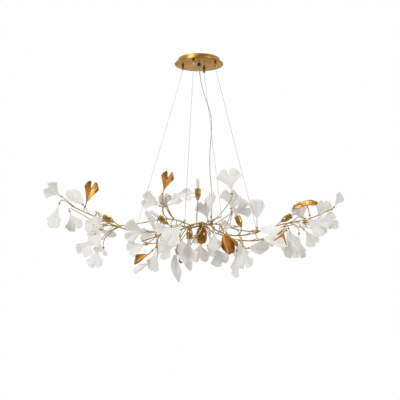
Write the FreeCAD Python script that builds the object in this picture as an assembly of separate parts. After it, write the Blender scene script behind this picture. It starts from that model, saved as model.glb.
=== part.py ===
import FreeCAD, Part
import math
import os

# An oblong branch chandelier. A round canopy at the ceiling carries four taut wires and a power cable.
# They hold a spray of eight gold branches with ceramic and gold ginkgo leaves and eight capsule lamps.
# Millimetres. The origin is the canopy's middle on the ceiling, X runs to the right along the spray,
# Y runs away from the viewer and Z runs up, so everything hangs below zero.

vector = FreeCAD.Vector

# Overall
spray_length = 1500
spray_depth = 560
spray_height = 600
spray_drop = 850
eye_distance = 3200
eye_drop = 958

# Canopy
drum_diameter = 214
drum_height = 25
drum_wall = 1.5
drum_flange_width = 10
plate_diameter = 250
plate_thickness = 3
stud_radius = 2
stud_height = 9
plate_nut_radius = 4
plate_nut_height = 3.2
bracket_width = 30
bracket_thickness = 2
bracket_ear_height = 16
bracket_screw_spacing = 80
bracket_screw_hole_radius = 2.75
bracket_cable_hole_radius = 8
side_screw_radius = 2
side_screw_head_radius = 4.5
side_screw_head_height = 2
terminal_length = 34
terminal_width = 16
terminal_height = 13
terminal_offset = 49
earth_screw_radius = 2
earth_screw_head_radius = 4
earth_screw_head_height = 2.5

# Gland and cable
cable_diameter = 5
gland_body_radius = 9
gland_body_height = 9
gland_thread_radius = 6
gland_nut_radius = 9.5
gland_nut_height = 4
gland_seat_depth = 7
cable_entry_radius = 6.5
cable_entry_height = 9

# Grippers and wires
gripper_ring_radius = 88
gripper_barrel_radius = 6.5
gripper_barrel_height = 18
gripper_thread_radius = 5
gripper_thread_height = 16
gripper_nut_radius = 8
gripper_nut_height = 3.5
gripper_cavity_depth = 12
gripper_wall = 2.2
gripper_nose_length = 15
nose_travel = 2
wire_diameter = 1.5
wire_tail = 5
wire_bend_radius = 12
wire_bend_drop = 4
ferrule_radius = 2.3
ferrule_length = 14
collar_wall = 3
collar_width = 8
collar_boss_radius = 3.6
collar_boss_height = 4

# Hub
neck_radius = 15
neck_height = 31
arm_level_step = 7
socket_depth = 6
bowl_radius = 29
bowl_height = 76
bowl_top_radius = 18
bowl_foot_radius = 19
bowl_wall = 2
bowl_belly_share = 0.5
neck_rounding = 3.75
tie_rod_radius = 3
tie_rod_seat = 8
finial_radius = 6
finial_height = 6
finial_hole_depth = 4
finial_swell_share = 0.6
finial_neck_radius = 5

# Arms, twigs and caps
arm_radius = 3.8
twig_radius = 2.1
stem_radius = 2.6
knuckle_radius = 4.6
first_run = 30
fork_lead = 30
twig_lead = 24
stem_lead = 14
cap_radius = 5
cap_depth = 6
cap_floor = 3
stalk_width = 5
stalk_thickness = 5
leaf_edge_thickness = 2.4

# Lamps
cup_radius = 15.5
cup_wall = 1.5
cup_length = 58
cup_floor = 6
cup_back_radius = 5
cup_flare_length = 22
socket_radius = 10.5
socket_height = 18
lamp_radius = 8.5
lamp_length = 70
pin_radius = 0.8
pin_length = 6
pin_spacing = 9
lamp_seat_gap = 0.3

# Clearances and the overrun of cuts
thread_gap = 0.05
fit_gap = 0.1
running_gap = 0.3
overrun = 1

# Where the photograph shows the spray: its middle, its arms' level, half its length and half its height
middle_pixel = 199
level_pixel = 225
half_length_pixels = 148.5
half_height_pixels = 59.4
hub_pixel = 201.5

# Leaf moulds, each with its blade's length and width, how far its corners drop, its cleft, its curl
# at the tip, its cup towards the viewer, its ruffle and the shares that shape it
leaf_moulds = {
    "open": {
        "length": 118, "width": 112, "corner_drop": 44, "cleft": 34, "curl": 10, "cup": 12, "ruffle": 5,
        "stalk_share": 0.14, "flare_power": 1.35, "cleft_share": 0.11, "waves": 3,
    },
    "medium": {
        "length": 100, "width": 92, "corner_drop": 36, "cleft": 18, "curl": -8, "cup": 14, "ruffle": 4,
        "stalk_share": 0.12, "flare_power": 1.3, "cleft_share": 0.13, "waves": 2.5,
    },
    "small": {
        "length": 80, "width": 70, "corner_drop": 28, "cleft": 13, "curl": 8, "cup": 9, "ruffle": 3,
        "stalk_share": 0.16, "flare_power": 1.25, "cleft_share": 0.14, "waves": 2,
    },
    "tulip": {
        "length": 130, "width": 70, "corner_drop": 36, "cleft": 40, "curl": 12, "cup": 15, "ruffle": 4,
        "stalk_share": 0.2, "flare_power": 1.1, "cleft_share": 0.15, "waves": 2,
    },
    "spoon": {
        "length": 140, "width": 62, "corner_drop": 50, "cleft": 6, "curl": -12, "cup": 20, "ruffle": 3,
        "stalk_share": 0.3, "flare_power": 0.75, "cleft_share": 0.15, "waves": 1.5,
    },
    "forked": {
        "length": 64, "width": 66, "corner_drop": 2, "cleft": 34, "curl": 4, "cup": 6, "ruffle": 2,
        "stalk_share": 0.16, "flare_power": 1, "cleft_share": 0.55, "waves": 1,
    },
    "crescent": {
        "length": 82, "width": 142, "corner_drop": 36, "cleft": 3, "curl": 50, "cup": 8, "ruffle": 3,
        "stalk_share": 0.68, "flare_power": 0.6, "cleft_share": 0.12, "waves": 2,
    },
    "oval": {
        "length": 104, "width": 70, "corner_drop": 44, "cleft": 4, "curl": 12, "cup": 12, "ruffle": 3,
        "stalk_share": 0.13, "flare_power": 0.62, "cleft_share": 0.14, "waves": 1.5,
    },
    "long": {
        "length": 138, "width": 94, "corner_drop": 30, "cleft": 10, "curl": 10, "cup": 12, "ruffle": 5,
        "stalk_share": 0.36, "flare_power": 0.8, "cleft_share": 0.13, "waves": 3,
    },
}
fan_angle = 78
leaf_rows = 9
leaf_columns = 17
leaf_degree = 3
grid_share = 0.002
taper_share = 0.4
cleft_power = 2.2

# How arms and cords are drawn: the arc's share of a run, the least turn that gets one, and the steps
# in which an arm is read
bend_share = 0.45
straight_turn = math.radians(0.5)
arm_steps = 60

# Arms: how each leaves the hub (degrees about Z, level up or down) and its corners, each as the
# photograph's across and down and a share of half the spray's depth
arm_routes = {
    "left_main": (180, 1, ((184, 228, -0.02), (172, 234, -0.08), (152, 232, -0.1), (132, 231, 0.02),
                           (116, 226, 0.16), (99, 218, 0.18), (84, 212, 0.12), (72, 206, 0.1))),
    "left_front": (230, -1, ((193, 228, -0.18), (177, 225, -0.38), (167, 231, -0.52), (155, 237, -0.62),
                             (143, 241, -0.66))),
    "left_rear": (135, -1, ((190, 225, 0.25), (176, 219, 0.42), (160, 219, 0.55), (142, 223, 0.64),
                            (122, 226, 0.7), (103, 225, 0.72), (93, 222, 0.7))),
    "right_main": (2, 1, ((216, 231, -0.03), (232, 236, -0.08), (247, 235, -0.12), (263, 230, -0.1),
                          (278, 225, -0.06), (294, 222, -0.02), (308, 219, 0.04), (321, 214, 0.08),
                          (331, 209, 0.1))),
    "right_front": (325, -1, ((210, 231, -0.22), (222, 235, -0.42), (234, 239, -0.55), (247, 241, -0.62),
                              (262, 240, -0.6), (276, 236, -0.52), (285, 230, -0.46))),
    "right_rear": (50, -1, ((208, 224, 0.2), (219, 224, 0.38), (231, 228, 0.5), (248, 232, 0.62),
                            (268, 230, 0.68), (290, 225, 0.68), (306, 222, 0.62))),
    "front_middle": (285, 1, ((201, 231, -0.24), (197, 236, -0.42), (193, 238, -0.55))),
    "rear_middle": (95, 1, ((204, 225, 0.28), (209, 221, 0.48), (220, 217, 0.6))),
}

# White leaves by arm: across and down in the photograph, share of half the depth, lean, nod and turn in
# degrees, mould and size share
white_leaves = {
    "left_main": (
        (61.5, 196.5, 0.1, -54, 30, 0, "medium", 1.04),
        (59.5, 203, 0.05, -165, 8, 44, "open", 1.15),
        (83, 204.5, 0.2, -44, 5, 42, "oval", 1.1),
        (100, 237, -0.06, -28, 6, 25, "medium", 1.1),
        (96, 215, -0.35, -165, 15, 50, "medium", 0.95),
        (103, 229, -0.45, -155, 5, 30, "medium", 1.0),
        (101, 230, 0.3, 112, 5, 50, "oval", 0.85),
        (93, 238, -0.1, -150, 15, 5, "medium", 1.05),
        (98, 246, -0.25, -174, 18, 30, "open", 0.95),
        (148, 231, -0.28, -90, 30, 0, "open", 1.06),
    ),
    "left_front": (
        (147, 243, -0.38, -118, 10, 26, "medium", 1.05),
        (154, 261, -0.4, -114, 5, 72, "open", 0.95),
        (157, 247, -0.72, -168, 0, 54, "open", 1.0),
        (156, 235, -0.5, -17, 0, 76, "open", 1.1),
        (184, 222, -0.75, -138, 0, 30, "open", 1.15),
        (176, 240, -0.35, -130, 5, 30, "open", 1.0),
        (172, 226, -0.15, -112, 5, 20, "medium", 0.95),
        (176.5, 251, -0.2, -178, 0, 66, "oval", 1.5),
    ),
    "left_rear": (
        (69.5, 210.5, 0.25, 159, 10, 18, "open", 0.96),
        (104, 224, 0.5, -130, 30, 20, "small", 0.95),
        (104, 247, 0.3, 170, 0, 50, "small", 0.6),
        (161, 203, 0.34, -78, 5, 5, "medium", 1.06),
        (163, 212, 0.58, 0, 15, 43, "medium", 1.05),
        (166, 206, 0.48, 68, 5, -50, "medium", 1.0),
        (169, 196, 0.2, 84, 0, -58, "open", 1.16),
        (156, 234, 0.9, -98, 5, 15, "medium", 0.92),
        (170, 232, 0.6, -165, 5, 20, "medium", 1.0),
        (180, 236, 0.75, 165, 5, 20, "medium", 1.0),
        (160, 206, 0.86, -60, 5, 20, "small", 1.0),
        (95, 222, 0.95, 173, 10, 20, "medium", 0.95),
        (98, 238, 0.6, 175, 5, 30, "small", 1.0),
    ),
    "front_middle": (
        (188.5, 253, -0.1, 180, 0, 58, "oval", 0.88),
        (188, 238, -0.5, 180, 12, 30, "open", 1.05),
    ),
    "rear_middle": (
        (200, 226, 0.45, 180, 10, 35, "medium", 1.0),
        (200, 240, 0.22, 180, 20, 10, "open", 1.0),
        (208, 221, 0.33, -12, 0, -30, "medium", 1.1),
        (213, 232, 0.7, 170, 5, 20, "medium", 1.0),
        (210, 250, 0.4, -140, 10, 40, "small", 0.9),
    ),
    "right_main": (
        (232, 194, -0.3, -9, 5, 5, "open", 1.12),
        (231, 209, -0.05, -4, 15, -20, "medium", 1.05),
        (211, 217, -0.05, -3, 0, -68, "open", 1.12),
        (257, 228, -0.15, -1, 0, 26, "long", 1.07),
        (257, 230, -0.28, 92, 0, -50, "oval", 1.34),
        (298.5, 233, -0.2, -178, 0, 62, "open", 1.08),
        (303, 229, 0.1, 137, 5, 46, "medium", 1.05),
        (320, 219, -0.15, 8, 10, 25, "medium", 1.0),
        (304, 218, -0.35, 120, 10, 0, "open", 1.08),
        (317, 220, -0.1, 92, 24, 0, "medium", 1.0),
        (333.5, 207.5, 0.16, 33, 0, 45, "small", 1.1),
        (241, 239, 0.1, 180, 10, 30, "small", 0.95),
    ),
    "right_front": (
        (210, 233, -0.1, 178, 0, 73, "open", 1.03),
        (214, 229, -0.52, 172, 0, 58, "medium", 1.05),
        (262, 239, -0.76, 96, 0, -44, "oval", 1.22),
        (248, 248, -0.65, 88, 0, 28, "oval", 1.0),
        (243, 246, -0.7, 178, 12, 28, "open", 0.92),
        (236.8, 250, -0.45, -172, 0, 74, "open", 1.15),
        (286.3, 230, -0.62, 172, 0, 64, "open", 1.2),
    ),
    "right_rear": (
        (214, 246, 0.15, 153, 15, 10, "medium", 1.15),
        (231, 214, 0.2, 66, 10, -15, "open", 0.95),
        (235, 226, 0.3, -88, 0, 30, "small", 1.0),
        (304, 222, 0.25, -25, 10, 12, "medium", 1.12),
        (312, 228, 0.38, -85, 0, 63, "medium", 1.1),
        (314, 223, 0.35, 140, 0, 40, "small", 1.05),
        (326, 222, 0.25, 110, 25, 40, "small", 0.85),
        (232, 212, 0.65, 10, 5, 20, "medium", 1.0),
        (240, 240, 0.6, 175, 5, 20, "medium", 1.0),
        (262, 240, 0.74, 98, 5, 20, "small", 0.95),
        (288, 228, 0.6, 165, 5, 30, "medium", 1.0),
        (318, 219, 0.78, 15, 5, 20, "medium", 0.95),
    ),
}

# Gold leaves by arm, in the same columns
gold_leaves = {
    "left_main": (
        (85, 207, -0.1, 20, 5, 25, "tulip", 1.08),
    ),
    "left_front": (
        (153, 250, -0.62, -133, 10, 56, "spoon", 0.8),
        (177.5, 253, 0.0, 150, 0, 20, "tulip", 0.45),
    ),
    "left_rear": (
        (162.5, 194, 0.1, 18, 15, 0, "tulip", 0.97),
        (157, 243, 0.7, -92, 5, 72, "tulip", 0.62),
    ),
    "right_main": (
        (309.5, 215.5, -0.18, -10, 0, 0, "crescent", 1.0),
    ),
    "right_front": (
        (221, 226, -0.6, 158, 0, 10, "spoon", 1.04),
        (284, 231, -0.82, -160, 0, 0, "forked", 1.0),
    ),
    "right_rear": (
        (226, 232, 0.8, 150, 5, 20, "tulip", 0.8),
    ),
}

# Lamp cups: arm, across and down in the photograph and share of half the depth, lean and nod in degrees
lamp_places = (
    ("left_main", 114, 222, 0.04, -61, 0),
    ("left_rear", 197.8, 200, 0.12, 0, 0),
    ("right_main", 281, 221.5, -0.02, 58, 0),
    ("left_main", 168, 224, 0.05, -53, 0),
    ("left_front", 189.5, 227, -0.3, 180, 0),
    ("right_main", 241, 227, -0.26, -20, 0),
    ("left_rear", 165, 234, 0.8, 180, 0),
    ("right_rear", 312, 228, 0.6, 72, 0),
)

# Wires: gripper's angle about Z, arm and the share of its length where the collar sits
wire_places = {
    "left": (162, "left_main", 0.48),
    "right": (-18, "right_main", 0.41),
    "near": (252, "left_main", 0.11),
    "far": (72, "right_rear", 0.245),
}
cable_entry_share = 0.135

# The cable's route below the gland: across, down and share of half the depth
cable_route = (
    (201, 80, 0.02), (203, 88, 0.05), (205.5, 97, 0.07), (208.5, 105, 0.09), (210.8, 114, 0.1),
    (211.8, 124, 0.11), (211.4, 135, 0.12), (210.2, 147, 0.13), (209.6, 160, 0.14), (210, 173, 0.15),
    (211.2, 185, 0.17), (212, 197, 0.2), (211.6, 208, 0.22),
)

half_length = spray_length / 2
half_depth = spray_depth / 2
half_height = spray_height / 2
drum_radius = drum_diameter / 2
plate_radius = plate_diameter / 2
wire_radius = wire_diameter / 2
cable_radius = cable_diameter / 2
plate_top = -drum_height
plate_under = plate_top - plate_thickness
up = vector(0, 0, 1)
down = vector(0, 0, -1)


def place(across, below, depth_share):
    # a place seen in the photograph, carried along its sight line to its own depth
    depth = half_depth * depth_share
    x = half_length * (across - middle_pixel) / half_length_pixels
    z = -spray_drop - half_height * (below - level_pixel) / half_height_pixels
    stretch = depth / eye_distance
    return vector(x * (1 + stretch), depth, z + (z + eye_drop) * stretch)


def unit(direction):
    length = direction.Length
    return vector(direction.x / length, direction.y / length, direction.z / length)


def rod(start, direction, radius, length):
    return Part.makeCylinder(radius, length, start, direction)


def tube(start, direction, radius, bore, length):
    hole = rod(start - direction * overrun, direction, bore, length + 2 * overrun)
    return rod(start, direction, radius, length).cut(hole)


def turned(profile, foot, direction):
    # spins a closed outline of (radius, height) edges about the line through foot
    face = Part.Face(Part.Wire(profile))
    solid = face.revolve(vector(0, 0, 0), up, 360)
    solid.Placement = FreeCAD.Placement(foot, FreeCAD.Rotation(up, direction))
    return solid


def outline(points):
    corners = [vector(radius, 0, height) for radius, height in points]
    pairs = zip(corners, corners[1:] + corners[:1])
    return [Part.makeLine(a, b) for a, b in pairs]


def bends(points, fixed_radius=0):
    # the arc that rounds each corner: its start, middle, end and radius
    arcs = []
    for before, corner, after in zip(points, points[1:], points[2:]):
        back = before - corner
        ahead = after - corner
        half_turn = (math.pi - back.getAngle(ahead)) / 2
        if half_turn < straight_turn:
            continue
        radius = fixed_radius or bend_share * min(back.Length, ahead.Length) / math.tan(half_turn)
        reach = radius * math.tan(half_turn)
        inward = unit(unit(back) + unit(ahead))
        middle = corner + inward * (radius / math.cos(half_turn) - radius)
        arcs.append((corner + unit(back) * reach, middle, corner + unit(ahead) * reach, radius))
    return arcs


def path(points, fixed_radius=0):
    edges = []
    start = points[0]
    for arc_start, arc_middle, arc_end, _ in bends(points, fixed_radius=fixed_radius):
        edges.append(Part.LineSegment(start, arc_start).toShape())
        edges.append(Part.Arc(arc_start, arc_middle, arc_end).toShape())
        start = arc_end
    edges.append(Part.LineSegment(start, points[-1]).toShape())
    return Part.Wire(edges)


def pipe(points, radius, fixed_radius=0):
    wire = path(points, fixed_radius)
    ring = Part.Wire(Part.makeCircle(radius, points[0], points[1] - points[0]))
    return wire.makePipeShell([ring], True, False)


def arm_points(name):
    angle, side, corners = arm_routes[name]
    middle = place(hub_pixel, level_pixel, 0)
    middle.z = middle.z + side * arm_level_step
    outward = vector(math.cos(math.radians(angle)), math.sin(math.radians(angle)), 0)
    start = middle + outward * (neck_radius - socket_depth)
    return [start, start + outward * first_run] + [place(*corner) for corner in corners]


def along(name, share):
    # a place on an arm and the arm's direction there
    wire = arm_paths[name]
    spots = wire.discretize(Number=arm_steps + 1)
    index = min(max(int(round(share * arm_steps)), 1), arm_steps - 1)
    return spots[index], unit(spots[index + 1] - spots[index - 1])


def fork_start(name, end):
    # a twig leaves its arm one lead before the arm's nearest place
    wire = arm_paths[name]
    spots = wire.discretize(Number=arm_steps + 1)
    nearest = min(range(len(spots)), key=lambda i: (spots[i] - end).Length)
    step = wire.Length / arm_steps
    first = int((socket_depth + neck_radius) / step) + 1
    index = max(nearest - int(round(fork_lead / step)), first)
    return spots[index], unit(spots[index + 1] - spots[index - 1])


def twig_points(name, end, direction, lead):
    # a twig leaves between its arm's way and its own, and arrives along its leaf or lamp
    corner = end - direction * lead
    start, ahead = fork_start(name, corner)
    first = start + unit(ahead + unit(corner - start)) * min(lead, (corner - start).Length / 2)
    return [start, first, corner, end]


def turn_of(lean, nod, turn):
    rotation = FreeCAD.Rotation(vector(0, 1, 0), lean)
    rotation = rotation.multiply(FreeCAD.Rotation(vector(1, 0, 0), nod))
    return rotation.multiply(FreeCAD.Rotation(up, turn))


def blade_place(mould, size_share, u, v):
    # the leaf's middle surface: u runs from the stalk to the margin, v from edge to edge
    stalk = mould["stalk_share"]
    flare = max(0, (u - stalk) / (1 - stalk)) ** mould["flare_power"]
    blade_half = size_share * mould["width"] / 2
    half = stalk_width / 2 + (blade_half - stalk_width / 2) * flare
    angle = math.radians(v * fan_angle)
    fan = math.radians(fan_angle)
    drop = size_share * mould["corner_drop"] * flare * (1 - math.cos(angle)) / (1 - math.cos(fan))
    cleft = size_share * mould["cleft"] * u ** cleft_power * math.exp(-((v / mould["cleft_share"]) ** 2))
    rise = size_share * mould["length"] * u - drop - cleft
    curl = size_share * mould["curl"] * u ** 2
    cup = size_share * mould["cup"] * flare * v ** 2
    ruffle = size_share * mould["ruffle"] * flare ** 2 * math.sin(math.pi * mould["waves"] * v)
    return vector(half * math.sin(angle) / math.sin(fan), curl - cup + ruffle, rise)


def smooth_sheet(poles):
    # a smooth surface that the grid of poles draws after it, up to its border
    knots = []
    for count in (len(poles), len(poles[0])):
        inner = count - leaf_degree - 1
        ends = leaf_degree + 1
        knots.append(([ends] + [1] * inner + [ends], list(range(inner + 2))))
    surface = Part.BSplineSurface()
    surface.buildFromPolesMultsKnots(poles, knots[0][0], knots[1][0], knots[0][1], knots[1][1],
                                     False, False, leaf_degree, leaf_degree)
    return surface


def leaf(mould, size_share):
    front = []
    back = []
    for row in range(leaf_rows):
        u = row / (leaf_rows - 1)
        front_row = []
        back_row = []
        for column in range(leaf_columns):
            v = 2 * column / (leaf_columns - 1) - 1
            spot = blade_place(mould, size_share, u, v)
            u_step = blade_place(mould, size_share, u + grid_share, v) - blade_place(
                mould, size_share, max(u - grid_share, 0), v)
            v_step = blade_place(mould, size_share, u, v + grid_share) - blade_place(
                mould, size_share, u, v - grid_share)
            normal = unit(u_step.cross(v_step))
            thickness = stalk_thickness + (leaf_edge_thickness - stalk_thickness) * min(1, u / taper_share)
            front_row.append(spot - normal * (thickness / 2))
            back_row.append(spot + normal * (thickness / 2))
        front.append(front_row)
        back.append(back_row)
    faces = []
    edges = []
    for grid in (front, back):
        surface = smooth_sheet(grid)
        u_first, u_last, v_first, v_last = surface.bounds()
        faces.append(surface.toShape())
        edges.append([surface.uIso(u_first).toShape(), surface.uIso(u_last).toShape(),
                      surface.vIso(v_first).toShape(), surface.vIso(v_last).toShape()])
    for front_edge, back_edge in zip(*edges):
        faces.append(Part.makeRuledSurface(front_edge, back_edge))
    shell = Part.makeShell(faces)
    shell.sewShape()
    return Part.makeSolid(shell)


def leaves(rows):
    solids = []
    for across, below, depth_share, lean, nod, turn, mould, size_share in rows:
        solid = leaf(leaf_moulds[mould], size_share)
        solid.Placement = FreeCAD.Placement(place(across, below, depth_share), turn_of(lean, nod, turn))
        solids.append(solid)
    return solids


def leaf_cap(row):
    across, below, depth_share, lean, nod, turn = row[:6]
    direction = turn_of(lean, nod, turn).multVec(up)
    seat = place(across, below, depth_share)
    cup = rod(seat - direction * cap_floor, direction, cap_radius, cap_floor + cap_depth)
    bore = math.hypot(stalk_width, stalk_thickness) / 2 + running_gap
    return cup.cut(rod(seat, direction, bore, cap_depth + overrun))


def lamp_frame(row):
    name, across, below, depth_share, lean, nod = row
    direction = turn_of(lean, nod, 0).multVec(up)
    return place(across, below, depth_share), direction


def knuckle(points):
    # a ball on the arm's end, its poles along the arm
    ball = Part.makeSphere(knuckle_radius)
    ball.Placement = FreeCAD.Placement(points[-1], FreeCAD.Rotation(up, points[-1] - points[-2]))
    return ball


def branch(name):
    pieces = [pipe(arm_points(name), arm_radius)]
    rows = white_leaves.get(name, ()) + gold_leaves.get(name, ())
    for row in rows:
        across, below, depth_share, lean, nod, turn = row[:6]
        direction = turn_of(lean, nod, turn).multVec(up)
        end = place(across, below, depth_share) - direction * cap_floor
        route = twig_points(name, end, direction, twig_lead)
        pieces.append(pipe(route, twig_radius))
    for row in lamp_places:
        if row[0] == name:
            back, direction = lamp_frame(row)
            route = twig_points(name, back, direction, stem_lead)
            pieces.append(pipe(route, stem_radius))
    return pieces[0].fuse(pieces[1:] + [knuckle(arm_points(name))])


def canopy_nodes():
    strip_half = math.sqrt((drum_radius - drum_wall) ** 2 - (bracket_width / 2) ** 2) - running_gap
    bracket = Part.makeBox(2 * strip_half, bracket_width, bracket_thickness,
                           vector(-strip_half, -bracket_width / 2, -bracket_thickness))
    ear_hole_height = -bracket_ear_height / 2
    for side in (-1, 1):
        inner = side * strip_half - (bracket_thickness if side > 0 else 0)
        ear = Part.makeBox(bracket_thickness, bracket_width, bracket_ear_height - bracket_thickness,
                           vector(inner, -bracket_width / 2, -bracket_ear_height))
        bracket = bracket.fuse(ear)
    bracket = bracket.removeSplitter()
    holes = [rod(vector(side * bracket_screw_spacing / 2, 0, overrun), down, bracket_screw_hole_radius,
                 bracket_thickness + 2 * overrun) for side in (-1, 1)]
    holes.append(rod(vector(0, 0, overrun), down, bracket_cable_hole_radius, bracket_thickness + 2 * overrun))
    earth_x = -(bracket_screw_spacing / 2 + bracket_cable_hole_radius) / 2
    earth_place = vector(earth_x, 0, 0)
    holes.append(rod(earth_place + up * overrun, down, earth_screw_radius + thread_gap,
                     bracket_thickness + 2 * overrun))
    ear_hole = rod(vector(-drum_radius, 0, ear_hole_height), vector(1, 0, 0),
                   side_screw_radius + thread_gap, drum_diameter)
    bracket = bracket.cut(holes + [ear_hole])

    drum = tube(vector(0, 0, plate_top), up, drum_radius, drum_radius - drum_wall, drum_height)
    flange = tube(vector(0, 0, plate_top), up, drum_radius - drum_wall / 2,
                  drum_radius - drum_flange_width, drum_wall)
    drum = drum.fuse(flange).removeSplitter()
    drum = drum.cut(rod(vector(-drum_radius - overrun, 0, ear_hole_height), vector(1, 0, 0),
                        side_screw_radius + fit_gap, drum_diameter + 2 * overrun))

    screws = []
    for side in (-1, 1):
        start = vector(side * drum_radius, 0, ear_hole_height)
        inward = vector(-side, 0, 0)
        shank = rod(start, inward, side_screw_radius, drum_radius - strip_half + bracket_thickness)
        head = rod(start, inward * -1, side_screw_head_radius, side_screw_head_height)
        screws.append(shank.fuse(head))

    plate = rod(vector(0, 0, plate_top), down, plate_radius, plate_thickness)
    rim = [edge for edge in plate.Edges if edge.BoundBox.ZMax < plate_under + overrun / 2]
    plate = plate.makeFillet(plate_thickness / 2, rim)
    stud_ring = drum_radius - (drum_wall + drum_flange_width) / 2
    studs = []
    nuts = []
    for angle in (30, 120, 210, 300):
        spot = vector(stud_ring * math.cos(math.radians(angle)), stud_ring * math.sin(math.radians(angle)), 0)
        foot = spot + up * plate_top
        studs.append(rod(foot, up, stud_radius, stud_height))
        drum = drum.cut(rod(foot + down * overrun, up, stud_radius + fit_gap, drum_wall + 2 * overrun))
        nuts.append(tube(foot + up * drum_wall, up, plate_nut_radius, stud_radius + thread_gap,
                         plate_nut_height))
    holes = [rod(vector(0, 0, plate_top + overrun), down, gland_thread_radius + fit_gap,
                 plate_thickness + 2 * overrun)]
    for angle, _, _ in wire_places.values():
        foot = gripper_spot(angle) + up * (plate_top + overrun)
        holes.append(rod(foot, down, gripper_thread_radius + fit_gap, plate_thickness + 2 * overrun))
    plate = plate.fuse(studs).removeSplitter().cut(holes)

    terminal = Part.makeBox(terminal_length, terminal_width, terminal_height,
                            vector(terminal_offset, -terminal_width / 2,
                                   -bracket_thickness - terminal_height))
    earth = rod(earth_place, down, earth_screw_radius, bracket_thickness + overrun)
    earth = earth.fuse(rod(earth_place + down * bracket_thickness, down, earth_screw_head_radius,
                           earth_screw_head_height)).removeSplitter()
    return {
        "ceiling_bracket": [bracket],
        "canopy_drum": [drum],
        "canopy_plate": [plate],
        "drum_side_screws": screws,
        "plate_nuts": nuts,
        "terminal_block": [terminal],
        "earth_screw": [earth],
    }


def gripper_spot(angle):
    turn = math.radians(angle)
    return vector(gripper_ring_radius * math.cos(turn), gripper_ring_radius * math.sin(turn), 0)


def gland_nodes():
    under = vector(0, 0, plate_under)
    body = rod(under, down, gland_body_radius, gland_body_height)
    foot_level = plate_under - gland_body_height
    lower = [edge for edge in body.Edges if edge.BoundBox.ZMax < foot_level + overrun / 2]
    body = body.makeChamfer(gland_body_radius - gland_thread_radius, [lower[0]])
    thread = rod(under, up, gland_thread_radius, plate_thickness + gland_nut_height)
    seat = rod(under + down * (gland_body_height + overrun), up, cable_radius + fit_gap,
               gland_seat_depth + overrun)
    body = body.fuse(thread).cut(seat)
    nut = tube(vector(0, 0, plate_top), up, gland_nut_radius, gland_thread_radius + thread_gap,
               gland_nut_height)
    return {"cable_gland": [body], "gland_nut": [nut]}


def gripper_nodes():
    bodies = []
    nuts = []
    nodes = {}
    bore = wire_radius + running_gap
    cavity = gripper_barrel_radius - gripper_wall
    for number, (angle, _, _) in enumerate(wire_places.values(), 1):
        spot = gripper_spot(angle)
        under = spot + up * plate_under
        barrel = rod(under, down, gripper_barrel_radius, gripper_barrel_height)
        thread = rod(under, up, gripper_thread_radius, gripper_thread_height)
        mouth = under + down * gripper_barrel_height
        hollow = rod(mouth + down * overrun, up, cavity, gripper_cavity_depth + overrun)
        way = rod(mouth, up, bore, gripper_barrel_height + gripper_thread_height + overrun)
        bodies.append(barrel.fuse(thread).cut([hollow, way]))
        nuts.append(tube(spot + up * plate_top, up, gripper_nut_radius, gripper_thread_radius + thread_gap,
                         gripper_nut_height))
        nose_top = mouth + up * (gripper_cavity_depth - nose_travel - running_gap)
        nose = tube(nose_top, down, cavity - running_gap, bore, gripper_nose_length)
        nodes["gripper_nose_%d" % number] = [nose]
    nodes["gripper_bodies"] = bodies
    nodes["gripper_nuts"] = nuts
    return nodes


def collar(spot, along_arm, toward, boss_radius, boss_height):
    # a ring round an arm with a boss towards what it holds, and the boss's outer end
    reach = arm_radius + collar_wall
    ring = rod(spot - along_arm * (collar_width / 2), along_arm, reach, collar_width)
    boss = rod(spot, toward, boss_radius, reach + boss_height)
    bore = rod(spot - along_arm * collar_width, along_arm, arm_radius + fit_gap, 2 * collar_width)
    return ring.fuse(boss).cut(bore), spot + toward * (reach + boss_height)


def wire_nodes():
    collars = []
    ferrules = []
    nodes = {}
    for name, (angle, arm, share) in wire_places.items():
        spot, along_arm = along(arm, share)
        mouth = gripper_spot(angle) + up * (plate_under - gripper_barrel_height)
        nose_tip = mouth + up * (gripper_cavity_depth - nose_travel - running_gap - gripper_nose_length)
        corner = nose_tip + down * wire_bend_drop
        top = gripper_spot(angle) + up * (plate_under + gripper_thread_height + wire_tail)
        toward = unit(corner - spot)
        piece, boss_end = collar(spot, along_arm, toward, collar_boss_radius, collar_boss_height)
        collars.append(piece)
        ferrules.append(rod(boss_end, toward, ferrule_radius, ferrule_length))
        low = boss_end + toward * ferrule_length
        nodes["wire_" + name] = [pipe([top, corner, low], wire_radius, wire_bend_radius)]
    nodes["wire_collars"] = collars
    nodes["wire_ferrules"] = ferrules
    return nodes


def cable_nodes():
    spot, along_arm = along("right_rear", cable_entry_share)
    last = place(*cable_route[-1])
    toward = unit(last - spot)
    entry, entry_end = collar(spot, along_arm, toward, cable_entry_radius, cable_entry_height)
    start = vector(0, 0, plate_under - gland_body_height + gland_seat_depth)
    below_gland = vector(0, 0, plate_under - gland_body_height - 2 * cable_diameter)
    points = [start, below_gland] + [place(*spot) for spot in cable_route] + [entry_end]
    cable = pipe(points, cable_radius)
    for row in bends(points):
        print("cable bend radius", round(row[3], 1))
    ideal = math.pi * cable_radius ** 2 * path(points).Length
    print("cable length", round(path(points).Length, 1), "volume share", round(cable.Volume / ideal, 5))
    return {"power_cable": [cable], "cable_entry": [entry]}


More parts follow.
